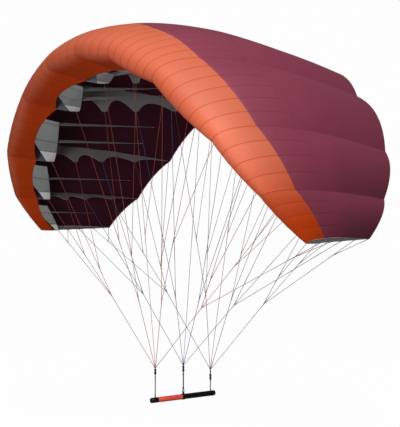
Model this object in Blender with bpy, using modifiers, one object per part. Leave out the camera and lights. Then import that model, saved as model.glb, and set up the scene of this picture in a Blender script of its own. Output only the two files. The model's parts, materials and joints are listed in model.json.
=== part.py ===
"""Single-skin parawing with its short control bar, in metres, +Z up, +X the way it flies.

The origin is on the crown of the canopy, straight above the bar's middle ring,
so everything else hangs below it. The left half lies at +Y and carries the
letter L, the right half the letter R.
"""
import math

import bmesh
import bpy
from mathutils import Matrix, Vector

# Sizes that drive the canopy
CELL_WIDTHS = (0.324, 0.386, 0.488, 0.316, 0.228)
ROOT_CHORD = 1.54
TIP_CHORD = 0.478
CHORD_POWER = 2.05
ROOT_NOSE_X = 0.704
NOSE_SWEEP = 0.486
SWEEP_POWER = 2.58
TIP_CANT = math.radians(81.2)
CANT_POWER = 1.03
TIP_PITCH = math.radians(8.6)
TIP_TOE = math.radians(2.0)
TIP_LEAN = math.radians(18.0)
ROOT_DEPTH = 0.100
TIP_DEPTH = 0.072
LIP_CHORD = 0.16
ROOT_LIP_SHARE = 0.37
TIP_LIP_SHARE = 0.42
ROOT_LIP_DROOP = 0.25
TIP_LIP_DROOP = 0.12
BELLY_CHORD = 0.215
NOSE_BULGE = 0.04
TAIL_BULGE = 0.11
BULGE_START = 0.02
BULGE_RUN = 0.50
ROOT_BAND = 0.178
BAND_SLOPE = -0.065
BAND_CURVE = 0.083

# Sizes that drive the ribs and the lines
RIB_THICKNESS = 0.0024
SKIN_THICKNESS = 0.002
SEAT_GAP = 0.0003
SKIN_INSET = 0.0014
TAIL_CUT = 0.001
TAB_CHORDS = (0.235, 0.38, 0.545, 0.76)
TAB_LINE_DEPTH = 0.84
TIP_LINE_DEPTH = 0.60
TAB_HALF = 0.014
ARCH_SHARE = 0.46
TIP_ARCH_SHARE = 0.08
ARCH_ROUNDNESS = 0.8
LINE_RADIUS = 0.0008
KNOT_RADIUS = 0.0035
KNOT_HEIGHT = 0.55
LINE_BASE_RADIUS = 0.007
LINE_BASE_HEIGHT = 0.006
LINE_SPREAD = 0.0055
LINE_SPREAD_REACH = 0.8

# Sizes that drive the bar and its leaders
BAR_DEPTH = 2.0535
BAR_LENGTH = 0.44
BAR_RADIUS = 0.015
TUBE_RADIUS = 0.0100
CAP_LENGTH = 0.020
CAP_BEVEL = 0.003
FRONT_SLEEVE_LENGTH = 0.026
COLLAR_HALF = 0.010
COLLAR_WALL = 0.002
LUG_RADIUS = 0.0060
LUG_HALF = 0.002
LUG_CLEARANCE = 0.0006
LEADER_X = 0.191
LEADER_RADIUS = 0.0025
EYE_RADIUS = 0.0034
SWING_HEIGHT = 0.134
RING_HEIGHT = 0.0245
RING_RADIUS = 0.008
RING_WIRE = 0.0022
CONNECTOR_RADIUS = 0.0062
CONNECTOR_LENGTH = 0.040
REAR_CONNECTOR_HEIGHT = 0.0745

NOSE_STEPS = 5
BELLY_STEPS = 2
BAND_STEPS = 5
CANOPY_STEPS = 10
SPAN_STEPS = 6
ARCH_STEPS = 5
ROUND_STEPS = 20

CELLS_PER_SIDE = len(CELL_WIDTHS)
BAR_Z = -BAR_DEPTH
SWING_Z = BAR_Z + SWING_HEIGHT
RING_Z = BAR_Z + RING_HEIGHT

ORANGE = (0.76, 0.19, 0.055)
MAROON = (0.20, 0.035, 0.07)
GREY_CLOTH = (0.05, 0.052, 0.05)
BLACK = (0.012, 0.012, 0.013)
RED = (0.55, 0.09, 0.07)
LINE_COLOURS = {"front": (0.62, 0.16, 0.12), "middle": (0.10, 0.15, 0.42), "rear": (0.36, 0.14, 0.10)}


def make_collections():
    """Empty the scene and return the collection of parts and the one of cutters."""
    for obj in list(bpy.data.objects):
        bpy.data.objects.remove(obj, do_unlink=True)
    found = []
    for name in ("parawing", "cutters"):
        collection = bpy.data.collections.new(name)
        bpy.context.scene.collection.children.link(collection)
        found.append(collection)
    return found


PARTS, CUTTERS = make_collections()


def material(name, colour, roughness, metallic=0.0):
    """A Principled material with one colour, made once for each name."""
    found = bpy.data.materials.get(name)
    if found is None:
        found = bpy.data.materials.new(name)
        found.use_nodes = True
        shader = found.node_tree.nodes["Principled BSDF"]
        shader.inputs["Base Color"].default_value = (*colour, 1.0)
        shader.inputs["Roughness"].default_value = roughness
        shader.inputs["Metallic"].default_value = metallic
    return found


def add_object(name, data, finish, collection=None):
    """Put new object data in a collection with its material."""
    obj = bpy.data.objects.new(name, data)
    (collection or PARTS).objects.link(obj)
    if finish is not None:
        data.materials.clear()
        data.materials.append(finish)
    return obj


def mesh_from_bmesh(bm, name):
    """Close a bmesh into a mesh."""
    mesh = bpy.data.meshes.new(name)
    bm.to_mesh(mesh)
    bm.free()
    return mesh


def section_height(x):
    """Height of the upper skin over the chord line, as a share of the depth."""
    root = 0.2969 * math.sqrt(max(x, 0.0))
    return 10.0 * (root - 0.1260 * x - 0.3516 * x ** 2 + 0.2843 * x ** 3 - 0.1036 * x ** 4)


CROWN_RISE = ROOT_CHORD * ROOT_DEPTH * section_height(ROOT_NOSE_X / ROOT_CHORD) + SEAT_GAP + SKIN_THICKNESS


def cant_at(share):
    """How far a rib's plane leans over, from nothing at the crown to the tip's cant."""
    return TIP_CANT * share ** CANT_POWER


def arc_place(index):
    """Span and drop of a rib's nose, summed over the cells between it and the crown."""
    across, down = 0.0, 0.0
    for cell in range(index):
        cant = cant_at((cell + 0.5) / CELLS_PER_SIDE)
        across += CELL_WIDTHS[cell] * math.cos(cant)
        down += CELL_WIDTHS[cell] * math.sin(cant)
    return across, down


class Station:
    """One rib's place: nose point, chord, depth, cant and the directions of its plane."""

    def __init__(self, index, side):
        share = index / CELLS_PER_SIDE
        cant = cant_at(share)
        pitch = TIP_PITCH * share ** 2
        toe = TIP_TOE * share ** 2
        across, down = arc_place(index)
        outward = Vector((0.0, math.sin(cant), math.cos(cant)))
        spanwise = Vector((0.0, math.cos(cant), -math.sin(cant)))
        aft = Vector((-math.cos(toe), 0.0, 0.0)) - spanwise * math.sin(toe)
        mirror = Matrix.Diagonal((1.0, side, 1.0))
        nose_x = ROOT_NOSE_X - NOSE_SWEEP * share ** SWEEP_POWER
        self.nose = Vector((nose_x, side * across, -down - CROWN_RISE))
        along = aft * math.cos(pitch) - outward * math.sin(pitch)
        up = outward * math.cos(pitch) + aft * math.sin(pitch)
        at_tip = index == CELLS_PER_SIDE
        lean = TIP_LEAN if at_tip else 0.0
        self.along = mirror @ along
        self.up = mirror @ (up * math.cos(lean) - along.cross(up) * math.sin(lean))
        self.face = self.along.cross(self.up)
        self.chord = TIP_CHORD + (ROOT_CHORD - TIP_CHORD) * (1.0 - share ** CHORD_POWER)
        self.depth = ROOT_DEPTH + (TIP_DEPTH - ROOT_DEPTH) * share ** 2
        self.foot = self.depth * (TIP_LINE_DEPTH if at_tip else TAB_LINE_DEPTH)
        self.arch = TIP_ARCH_SHARE if at_tip else ARCH_SHARE
        self.lip = self.depth * (ROOT_LIP_SHARE + (TIP_LIP_SHARE - ROOT_LIP_SHARE) * share ** 2)
        self.droop = self.depth * (ROOT_LIP_DROOP + (TIP_LIP_DROOP - ROOT_LIP_DROOP) * share ** 2)
        self.band = ROOT_BAND + BAND_SLOPE * share + BAND_CURVE * share ** 2

    def point(self, x, height):
        """A point of the rib's plane, with x and height as shares of the chord."""
        return self.nose + self.along * (x * self.chord) + self.up * (height * self.chord)

    def top(self, x):
        """Height of the upper skin at x."""
        return self.depth * section_height(x)

    def under_nose(self, v):
        """Height of the round nose's underside, from the tip at v 0 to the drooping lip at v 1."""
        return -self.lip * math.sqrt(v * (2.0 - v)) - self.droop * v ** 4

    def tab_line(self, x):
        """Height of the line on which the tabs end, which rises to the tail."""
        return -self.foot * (1.0 - x)


def profile(station):
    """Points round a section: belly, lip, nose, band, the seam's two sides, then the canopy to the tail."""
    belly_low = station.tab_line(BELLY_CHORD)
    points = []
    for k in range(BELLY_STEPS):
        share = k / BELLY_STEPS
        points.append((BELLY_CHORD + (LIP_CHORD - BELLY_CHORD) * share,
                       belly_low + (station.under_nose(1.0) - belly_low) * share))
    for k in range(NOSE_STEPS):
        v = 1.0 - k / NOSE_STEPS
        points.append((LIP_CHORD * v ** 2, station.under_nose(v)))
    for k in range(BAND_STEPS + 1):
        x = station.band * (k / BAND_STEPS) ** 2
        points.append((x, station.top(x)))
    seam = station.band + SEAT_GAP / station.chord
    for k in range(CANOPY_STEPS + 1):
        x = seam + (1.0 - seam) * k / CANOPY_STEPS
        points.append((x, station.top(x)))
    return points


def outward_way(station, points, k):
    """The direction square to the section at its k-th point."""
    before = points[max(0, k - 1)]
    after = points[min(len(points) - 1, k + 1)]
    way = station.up * (after[0] - before[0]) - station.along * (after[1] - before[1])
    return way.normalized()


def cell_rows(inner, outer):
    """Grid of points between two ribs, one row for each point of the section, swelling in the middle."""
    first_points, last_points = profile(inner), profile(outer)
    rows = []
    for k, (a, b) in enumerate(zip(first_points, last_points)):
        start = inner.point(*a)
        across = outer.point(*b) - start
        swell = (outward_way(inner, first_points, k) + outward_way(outer, last_points, k)).normalized()
        upper = k >= BELLY_STEPS + NOSE_STEPS
        grown = min(1.0, max(0.0, (a[0] - BULGE_START) / BULGE_RUN)) if upper else 0.0
        size = (NOSE_BULGE + (TAIL_BULGE - NOSE_BULGE) * grown) * across.length
        first = SKIN_INSET / abs(across.dot(inner.face))
        last = 1.0 - SKIN_INSET / abs(across.dot(outer.face))
        row = []
        for j in range(SPAN_STEPS + 1):
            t = first + (last - first) * j / SPAN_STEPS
            row.append(start + across * t + swell * (size * 4.0 * t * (1.0 - t) + SEAT_GAP))
        rows.append(row)
    return rows


def panel(name, rows, finish, side):
    """A cloth panel: an open grid of quads with a wall grown outwards."""
    bm = bmesh.new()
    grid = [[bm.verts.new(point) for point in row] for row in rows]
    for upper, lower in zip(grid, grid[1:]):
        for j in range(len(upper) - 1):
            corners = (upper[j], upper[j + 1], lower[j + 1], lower[j])
            bm.faces.new(corners if side > 0 else corners[::-1])
    obj = add_object(name, mesh_from_bmesh(bm, name), finish)
    wall = obj.modifiers.new("wall", "SOLIDIFY")
    wall.thickness = SKIN_THICKNESS
    wall.offset = 1.0


def cell_panels(index, side):
    """The orange nose panel and the maroon panel of one cell."""
    letter = "L" if side > 0 else "R"
    rows = cell_rows(Station(index, side), Station(index + 1, side))
    seam = BELLY_STEPS + NOSE_STEPS + BAND_STEPS + 1
    panel(f"nose_{letter}{index + 1}", rows[:seam], material("orange cloth", ORANGE, 0.55), side)
    panel(f"canopy_{letter}{index + 1}", rows[seam:], material("maroon cloth", MAROON, 0.55), side)


def rib_underside(station):
    """Points from the tail to the front tab: tabs on their line with arches between."""
    stops = list(TAB_CHORDS) + [1.0]
    points = []
    for front, rear in reversed(list(zip(stops, stops[1:]))):
        start = rear - (TAB_HALF if rear < 1.0 else 0.0)
        end = front + TAB_HALF
        for k in range(ARCH_STEPS + 1):
            x = start + (end - start) * k / ARCH_STEPS
            rise = station.arch * (station.top(x) - station.tab_line(x))
            arch = math.sin(math.pi * k / ARCH_STEPS) ** ARCH_ROUNDNESS
            points.append((x, station.tab_line(x) + rise * arch))
    first = TAB_CHORDS[0] - TAB_HALF
    points.append((first, station.tab_line(first)))
    return points


def rib(name, index, side):
    """A flat rib: its outline is a filled 2D curve, thick by the cloth's share."""
    station = Station(index, side)
    tail = 1.0 - TAIL_CUT
    top = profile(station)[:-1]
    under = [point for point in rib_underside(station) if point[0] < tail]
    outline = top + [(tail, 0.5 * station.top(tail))] + under
    curve = bpy.data.curves.new(name, "CURVE")
    curve.dimensions = "2D"
    curve.fill_mode = "BOTH"
    curve.extrude = RIB_THICKNESS / 2.0
    spline = curve.splines.new("POLY")
    spline.points.add(len(outline) - 1)
    spline.use_cyclic_u = True
    for point, (x, height) in zip(spline.points, outline):
        point.co = (x * station.chord, height * station.chord, 0.0, 1.0)
    obj = add_object(name, curve, material("grey cloth", GREY_CLOTH, 0.8))
    turn = Matrix((station.along, station.up, station.face)).transposed().to_4x4()
    obj.matrix_world = Matrix.Translation(station.nose) @ turn
    return obj


def round_bar(name, start, end, radius, finish, steps=ROUND_STEPS, collection=None):
    """A closed cylinder between two points."""
    start, end = Vector(start), Vector(end)
    bm = bmesh.new()
    bmesh.ops.create_cone(bm, cap_ends=True, segments=steps, radius1=radius, radius2=radius,
                          depth=(end - start).length)
    obj = add_object(name, mesh_from_bmesh(bm, name), finish, collection)
    obj.rotation_mode = "QUATERNION"
    obj.rotation_quaternion = (end - start).to_track_quat("Z", "Y")
    obj.location = (start + end) / 2.0
    return obj


def ball(name, centre, radius, finish, collection=None, steps=10):
    """A closed sphere."""
    bm = bmesh.new()
    bmesh.ops.create_uvsphere(bm, u_segments=steps, v_segments=steps // 2, radius=radius)
    obj = add_object(name, mesh_from_bmesh(bm, name), finish, collection)
    obj.location = centre
    return obj


def hide_tool(obj):
    """Mark a cutter or a joined piece as a guide."""
    obj.hide_render = True
    obj.display_type = "WIRE"


def combine(target, other, operation):
    """Add a Boolean of another closed mesh to a piece."""
    step = target.modifiers.new(operation.lower(), "BOOLEAN")
    step.object = other
    step.operation = operation
    step.solver = "EXACT"
    hide_tool(other)


def tab_point(index, side, row):
    """The middle of a tab's lower edge, with the line's seat gap below it."""
    station = Station(index, side)
    x = TAB_CHORDS[row]
    return station.point(x, station.tab_line(x)) - station.up * SEAT_GAP


def thin_line(name, start, end):
    """One stretch of line, to be joined to its set."""
    return round_bar(name, start, end, LINE_RADIUS, None, 6, CUTTERS)


def line_set(name, row, anchor, finish):
    """One row of lines: five mains from the anchor, a knot on each outer main, a branch to each rib."""
    base_top = anchor + Vector((0, 0, LINE_BASE_HEIGHT))
    base = round_bar(name, anchor, base_top, LINE_BASE_RADIUS, finish, 12)
    start = anchor + Vector((0, 0, 0.7 * LINE_BASE_HEIGHT))
    joined = []
    groups = [[(0, 1)]] + [[(i, side) for i in group] for side in (1, -1) for group in ((1, 2), (3, 4, 5))]
    for number, group in enumerate(groups):
        targets = [tab_point(i, side, row) for i, side in group]
        middle = sum(targets, Vector()) / len(targets)
        spread = LINE_SPREAD * max(-1.0, min(1.0, middle.y / LINE_SPREAD_REACH))
        foot = start + Vector((0.0, spread, 0.0))
        label = f"{name} {number}"
        if len(targets) == 1:
            joined.append(thin_line(label, foot, targets[0]))
            continue
        knot = foot + (middle - foot) * ((BAR_Z + KNOT_HEIGHT - foot.z) / (middle.z - foot.z))
        joined.append(thin_line(label, foot, knot))
        joined.append(ball(f"{label} knot", knot, KNOT_RADIUS, None, CUTTERS))
        joined += [thin_line(f"{label} branch", knot, target) for target in targets]
    for other in joined:
        combine(base, other, "UNION")


def axis_point(name, z):
    """An empty on a joint's axis, which carries the pieces that turn there."""
    empty = bpy.data.objects.new(name, None)
    PARTS.objects.link(empty)
    empty.location = (0.0, 0.0, z)
    return empty


def hang(pieces, empty):
    """Parent pieces to an empty without moving them."""
    for piece in pieces:
        piece.parent = empty
        piece.location = piece.location - empty.location


def swivel_ring():
    """The steel ring between the middle leader and the collar's lug."""
    bpy.ops.mesh.primitive_torus_add(major_radius=RING_RADIUS, minor_radius=RING_WIRE,
                                     major_segments=20, minor_segments=8,
                                     location=(0, 0, RING_Z + RING_RADIUS), rotation=(0, math.pi / 2, 0))
    ring = bpy.context.object
    ring.name = "swivel_ring"
    for collection in list(ring.users_collection):
        collection.objects.unlink(ring)
    PARTS.objects.link(ring)
    ring.data.materials.append(material("steel", (0.5, 0.5, 0.52), 0.3, 1.0))
    return ring


def leaders():
    """The three leaders, the rear connector with its tail, and the ring under the middle leader."""
    cloth = material("leader webbing", BLACK, 0.7)
    bar_top = Vector((0.0, 0.0, BAR_Z + BAR_RADIUS + SEAT_GAP))
    ring_top = Vector((0.0, 0.0, RING_Z + 2.0 * RING_RADIUS + RING_WIRE + SEAT_GAP))
    swing = Vector((0.0, 0.0, SWING_Z))
    front = Vector((LEADER_X, 0.0, 0.0))
    rear = -front
    made = []
    ends = (("front_leader", front + bar_top, front + swing), ("middle_leader", ring_top, swing))
    for name, foot, top in ends:
        leader = round_bar(name, foot, top, LEADER_RADIUS, cloth, 10)
        combine(leader, ball(f"{name} eye", top, EYE_RADIUS, None, CUTTERS), "UNION")
        made.append(leader)
    sleeve_foot = rear + Vector((0.0, 0.0, BAR_Z + REAR_CONNECTOR_HEIGHT))
    sleeve_top = sleeve_foot + Vector((0.0, 0.0, CONNECTOR_LENGTH))
    gap = Vector((0.0, 0.0, SEAT_GAP))
    made.append(round_bar("rear_leader", rear + bar_top, sleeve_foot - gap, LEADER_RADIUS, cloth, 10))
    sleeve = round_bar("rear_connector", sleeve_foot, sleeve_top, CONNECTOR_RADIUS, cloth, 12)
    tail_foot = sleeve_top - Vector((0.0, 0.0, EYE_RADIUS))
    tail = round_bar("rear tail", tail_foot, rear + swing, LEADER_RADIUS, None, 10, CUTTERS)
    combine(sleeve, tail, "UNION")
    combine(sleeve, ball("rear eye", rear + swing, EYE_RADIUS, None, CUTTERS), "UNION")
    made.append(sleeve)
    made.append(swivel_ring())
    hang(made, axis_point("swing axis", SWING_Z))


def connectors():
    """The front and middle connectors above the swing line."""
    sleeve = material("connector sleeve", (0.03, 0.03, 0.03), 0.6)
    foot = SWING_Z + EYE_RADIUS + SEAT_GAP
    for name, x in (("front_connector", LEADER_X), ("middle_connector", 0.0)):
        round_bar(name, (x, 0, foot), (x, 0, foot + CONNECTOR_LENGTH), CONNECTOR_RADIUS, sleeve, 12)


def hollow_sleeve(name, start_x, end_x, radius, finish):
    """A grip round the bar's tube: a cylinder with a bore."""
    obj = round_bar(name, (start_x, 0, BAR_Z), (end_x, 0, BAR_Z), radius, finish)
    bore = round_bar(f"{name} bore", (start_x - 0.01, 0, BAR_Z), (end_x + 0.01, 0, BAR_Z),
                     TUBE_RADIUS + SEAT_GAP, None, ROUND_STEPS, CUTTERS)
    combine(obj, bore, "DIFFERENCE")
    return obj


def centre_collar(finish):
    """The collar in the bar's middle, with the lug that the ring passes through."""
    collar = hollow_sleeve("centre_collar", -COLLAR_HALF, COLLAR_HALF, BAR_RADIUS + COLLAR_WALL, finish)
    lug = round_bar("lug disc", (0, -LUG_HALF, RING_Z), (0, LUG_HALF, RING_Z), LUG_RADIUS, None,
                    ROUND_STEPS, CUTTERS)
    hole = round_bar("lug hole", (0, -COLLAR_HALF, RING_Z), (0, COLLAR_HALF, RING_Z),
                     RING_WIRE + LUG_CLEARANCE, None, 16, CUTTERS)
    foot_low = BAR_Z + TUBE_RADIUS + COLLAR_WALL
    bm = bmesh.new()
    bmesh.ops.create_cube(bm, size=1.0)
    bmesh.ops.scale(bm, vec=(2.0 * LUG_RADIUS, 2.0 * LUG_HALF, RING_Z - foot_low), verts=bm.verts)
    foot = add_object("lug foot", mesh_from_bmesh(bm, "lug foot"), None, CUTTERS)
    foot.location = (0, 0, (RING_Z + foot_low) / 2.0)
    combine(collar, foot, "UNION")
    combine(collar, lug, "UNION")
    combine(collar, hole, "DIFFERENCE")
    return collar


def bar():
    """The tube, two grips, the front sleeve, two end caps, and the collar with its lug."""
    half = BAR_LENGTH / 2.0
    inner = half - CAP_LENGTH
    sleeve_start = inner - FRONT_SLEEVE_LENGTH
    black = material("black grip", BLACK, 0.6)
    made = [
        round_bar("bar_tube", (-inner, 0, BAR_Z), (inner, 0, BAR_Z), TUBE_RADIUS,
                  material("tube", (0.08, 0.08, 0.085), 0.35, 0.6)),
        hollow_sleeve("front_grip", COLLAR_HALF + SEAT_GAP, sleeve_start - SEAT_GAP, BAR_RADIUS,
                      material("red grip", RED, 0.6)),
        hollow_sleeve("rear_grip", -inner + SEAT_GAP, -COLLAR_HALF - SEAT_GAP, BAR_RADIUS, black),
        hollow_sleeve("front_sleeve", sleeve_start, inner - SEAT_GAP, BAR_RADIUS, black),
        centre_collar(black),
    ]
    for name, sign in (("front_cap", 1), ("rear_cap", -1)):
        start_x, end_x = sign * (inner + SEAT_GAP), sign * half
        end = round_bar(name, (start_x, 0, BAR_Z), (end_x, 0, BAR_Z), BAR_RADIUS, black)
        edge = end.modifiers.new("edge", "BEVEL")
        edge.width = CAP_BEVEL
        edge.segments = 2
        edge.limit_method = "ANGLE"
        made.append(end)
    hang(made, axis_point("tilt axis", RING_Z))


def build():
    """Model every piece."""
    for side in (1, -1):
        for index in range(CELLS_PER_SIDE):
            cell_panels(index, side)
    rib("rib_0", 0, 1)
    for side, letter in ((1, "L"), (-1, "R")):
        for index in range(1, CELLS_PER_SIDE + 1):
            rib(f"rib_{letter}{index}", index, side)
    tail_top = SWING_Z + EYE_RADIUS + SEAT_GAP
    sleeve_top = tail_top + CONNECTOR_LENGTH + SEAT_GAP
    for name, row, x, z in (("front", 0, LEADER_X, sleeve_top), ("middle", 2, 0.0, sleeve_top),
                            ("rear", 3, -LEADER_X, tail_top)):
        line_set(f"{name}_lines", row, Vector((x, 0, z)), material(f"{name} line", LINE_COLOURS[name], 0.6))
    connectors()
    leaders()
    bar()


build()
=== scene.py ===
"""Looks of the single-skin parawing: its cloth skins, ribs, tapes, lines, leaders and grips.

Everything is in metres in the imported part's frame: +X is the way it flies, +Y its
left half with the letter L, +Z up, and the origin lies on the crown above the bar.
"""
import json
import math

import bpy
import numpy as np
from mathutils import Quaternion, Vector
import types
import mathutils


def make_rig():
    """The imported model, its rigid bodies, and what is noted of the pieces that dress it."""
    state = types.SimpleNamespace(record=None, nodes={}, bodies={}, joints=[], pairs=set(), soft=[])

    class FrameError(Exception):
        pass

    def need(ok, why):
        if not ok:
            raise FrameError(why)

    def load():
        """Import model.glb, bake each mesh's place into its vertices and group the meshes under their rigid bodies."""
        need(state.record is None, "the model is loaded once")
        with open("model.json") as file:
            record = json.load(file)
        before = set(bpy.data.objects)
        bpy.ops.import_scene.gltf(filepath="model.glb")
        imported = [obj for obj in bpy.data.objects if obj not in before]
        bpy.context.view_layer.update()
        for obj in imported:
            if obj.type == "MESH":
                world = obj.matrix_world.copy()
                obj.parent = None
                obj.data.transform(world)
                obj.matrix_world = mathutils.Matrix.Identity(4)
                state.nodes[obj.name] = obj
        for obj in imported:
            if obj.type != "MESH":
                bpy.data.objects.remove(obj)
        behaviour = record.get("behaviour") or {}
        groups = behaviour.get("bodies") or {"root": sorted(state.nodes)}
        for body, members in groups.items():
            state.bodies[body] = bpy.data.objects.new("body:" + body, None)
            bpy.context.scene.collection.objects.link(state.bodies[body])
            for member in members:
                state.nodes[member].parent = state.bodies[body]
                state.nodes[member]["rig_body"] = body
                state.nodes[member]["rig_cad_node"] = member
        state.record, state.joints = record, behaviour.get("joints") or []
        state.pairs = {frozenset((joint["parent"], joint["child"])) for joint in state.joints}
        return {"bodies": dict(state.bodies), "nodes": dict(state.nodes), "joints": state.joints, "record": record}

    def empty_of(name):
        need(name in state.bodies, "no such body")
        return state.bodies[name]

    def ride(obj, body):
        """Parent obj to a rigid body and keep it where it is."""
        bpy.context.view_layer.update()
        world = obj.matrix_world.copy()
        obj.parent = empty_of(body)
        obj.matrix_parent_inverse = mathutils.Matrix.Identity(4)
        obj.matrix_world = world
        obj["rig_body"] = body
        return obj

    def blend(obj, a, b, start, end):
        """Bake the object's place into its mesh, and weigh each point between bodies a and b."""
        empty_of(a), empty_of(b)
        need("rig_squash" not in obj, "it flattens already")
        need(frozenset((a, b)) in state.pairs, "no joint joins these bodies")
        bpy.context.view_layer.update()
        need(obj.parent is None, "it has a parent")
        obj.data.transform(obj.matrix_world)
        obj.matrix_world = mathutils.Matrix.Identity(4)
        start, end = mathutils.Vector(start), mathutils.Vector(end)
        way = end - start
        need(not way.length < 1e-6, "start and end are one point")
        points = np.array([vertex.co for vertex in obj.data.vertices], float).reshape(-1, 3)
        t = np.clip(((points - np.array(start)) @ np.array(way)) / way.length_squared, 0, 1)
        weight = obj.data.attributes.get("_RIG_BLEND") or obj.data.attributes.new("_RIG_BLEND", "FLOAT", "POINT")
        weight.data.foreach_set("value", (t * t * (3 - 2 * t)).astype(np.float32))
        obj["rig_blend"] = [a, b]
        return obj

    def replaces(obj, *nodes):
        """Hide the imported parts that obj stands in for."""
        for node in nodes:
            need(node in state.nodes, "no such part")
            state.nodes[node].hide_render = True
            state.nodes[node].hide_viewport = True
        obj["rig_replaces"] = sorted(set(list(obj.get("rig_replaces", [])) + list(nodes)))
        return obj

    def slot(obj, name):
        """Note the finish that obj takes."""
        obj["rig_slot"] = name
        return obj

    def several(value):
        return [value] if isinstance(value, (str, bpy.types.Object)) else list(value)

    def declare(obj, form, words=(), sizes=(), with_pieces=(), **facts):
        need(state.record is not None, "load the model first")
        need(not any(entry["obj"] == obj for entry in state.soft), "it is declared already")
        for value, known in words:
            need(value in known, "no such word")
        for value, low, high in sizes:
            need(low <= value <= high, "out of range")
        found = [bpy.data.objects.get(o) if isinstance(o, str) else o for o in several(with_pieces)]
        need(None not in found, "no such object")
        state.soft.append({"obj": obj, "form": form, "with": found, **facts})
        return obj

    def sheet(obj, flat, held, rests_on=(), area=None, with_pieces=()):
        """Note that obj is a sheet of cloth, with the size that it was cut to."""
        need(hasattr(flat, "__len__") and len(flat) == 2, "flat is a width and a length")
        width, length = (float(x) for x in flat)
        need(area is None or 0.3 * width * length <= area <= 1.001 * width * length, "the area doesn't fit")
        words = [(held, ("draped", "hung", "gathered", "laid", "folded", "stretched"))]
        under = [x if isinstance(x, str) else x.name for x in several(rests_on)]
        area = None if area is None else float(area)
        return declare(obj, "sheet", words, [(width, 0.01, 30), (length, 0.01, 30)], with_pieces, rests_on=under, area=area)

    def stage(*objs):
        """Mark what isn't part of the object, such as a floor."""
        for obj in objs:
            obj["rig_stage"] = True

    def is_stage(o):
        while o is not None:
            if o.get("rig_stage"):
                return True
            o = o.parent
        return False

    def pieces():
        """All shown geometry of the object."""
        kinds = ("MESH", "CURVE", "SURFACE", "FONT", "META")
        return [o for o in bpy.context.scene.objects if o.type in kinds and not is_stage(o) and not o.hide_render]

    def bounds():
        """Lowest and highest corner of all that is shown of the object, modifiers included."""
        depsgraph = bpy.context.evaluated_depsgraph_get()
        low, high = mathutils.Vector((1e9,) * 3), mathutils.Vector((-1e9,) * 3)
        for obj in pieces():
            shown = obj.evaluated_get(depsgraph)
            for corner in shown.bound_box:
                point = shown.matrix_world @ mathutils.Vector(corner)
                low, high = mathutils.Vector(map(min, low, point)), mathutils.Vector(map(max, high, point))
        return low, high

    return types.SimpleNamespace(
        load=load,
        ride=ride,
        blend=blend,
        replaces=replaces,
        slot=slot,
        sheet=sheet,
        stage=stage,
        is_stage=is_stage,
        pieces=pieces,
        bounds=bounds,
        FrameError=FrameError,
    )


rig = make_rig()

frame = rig.load()
CAD_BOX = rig.bounds()

# Sizes of the canopy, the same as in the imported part; pairs are for the root and the tip
CELL_WIDTHS = (0.324, 0.386, 0.488, 0.316, 0.228)
CHORDS = (1.54, 0.478)
CHORD_POWER = 2.05
ROOT_NOSE_X = 0.704
NOSE_SWEEP = 0.486
SWEEP_POWER = 2.58
TIP_CANT = math.radians(81.2)
CANT_POWER = 1.03
TIP_PITCH = math.radians(8.6)
TIP_TOE = math.radians(2.0)
TIP_LEAN = math.radians(18.0)
DEPTHS = (0.100, 0.072)
LIP_CHORD = 0.16
LIP_SHARES = (0.37, 0.42)
LIP_DROOPS = (0.25, 0.12)
BELLY_CHORD = 0.215
NOSE_BULGE = 0.026
TAIL_BULGE = 0.11
BULGE_START = 0.02
BULGE_RUN = 0.50
ROOT_BAND = 0.178
BAND_SLOPE = -0.065
BAND_CURVE = 0.083
SKIN_THICKNESS = 0.002
SEAT_GAP = 0.0003
TAB_CHORDS = (0.235, 0.38, 0.545, 0.76)
TAB_LINE_DEPTH = 0.84
TIP_LINE_DEPTH = 0.60
TAB_HALF = 0.014
ARCH_SHARE = 0.46
TIP_ARCH_SHARE = 0.08
ARCH_ROUNDNESS = 0.8

# Sizes of the lines, leaders and bar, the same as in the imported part
BAR_DEPTH = 2.0535
BAR_LENGTH = 0.44
BAR_RADIUS = 0.015
TUBE_RADIUS = 0.010
CAP_LENGTH = 0.020
CAP_ROUND = 0.005
FRONT_SLEEVE_LENGTH = 0.026
COLLAR_HALF = 0.010
COLLAR_WALL = 0.002
LUG_RADIUS = 0.0060
LUG_HALF = 0.002
LUG_CLEARANCE = 0.0006
LEADER_X = 0.191
LEADER_RADIUS = 0.0025
EYE_RADIUS = 0.0034
SWING_HEIGHT = 0.134
RING_HEIGHT = 0.0245
RING_RADIUS = 0.008
RING_WIRE = 0.0022
CONNECTOR_RADIUS = 0.0062
CONNECTOR_LENGTH = 0.040
REAR_CONNECTOR_HEIGHT = 0.0745
KNOT_HEIGHT = 0.55
LINE_BASE_HEIGHT = 0.006
LINE_SPREAD = 0.0055
LINE_SPREAD_REACH = 0.8

# Sizes of the skins' own detail, one number for each cell or rib where there are several
SUBCELLS = (4, 6, 6, 4, 4)
SEAM_STEPS = (0.0, 0.02, 0.045, 0.09, 0.2, 0.35, 0.5, 0.65, 0.8, 0.91, 0.955, 0.98)
LIP_RIBS = (0.160, 0.156, 0.146, 0.152, 0.156, 0.166)
LIP_ARCHES = (0.020, 0.046, 0.052, 0.034, 0.037)
LIP_ARCH_POWER = 0.8
NOSE_UNDER_ROWS = 17
NOSE_UPPER_ROWS = 15
NOSE_UNDER_EDGE = 0.985
NOSE_UPPER_EDGE = 0.988
FORE_STEPS = np.concatenate([[0.0, 0.02, 0.05], np.linspace(0.1, 0.9, 12), [0.96, 0.985, 1.0]])
AFT_STEPS = np.concatenate([[0.004, 0.012], np.linspace(0.03, 0.95, 26), [0.975, 0.985, 0.992, 1.0]])
PUFF = 0.0012
PUFF_FADE_CHORD = 0.22
PUFF_LEAST = 0.02
SEAM_RIDGE = 0.0008
SEAM_HALF = 0.0025
CROSS_SEAM = 0.365
CROSS_SEAM_BOW = 0.04
CROSS_SEAM_POWER = 0.6
CLOTH_THICKNESS = 0.0008
LAP_LENGTH = 0.008
LAP_DROP = 0.0011
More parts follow.
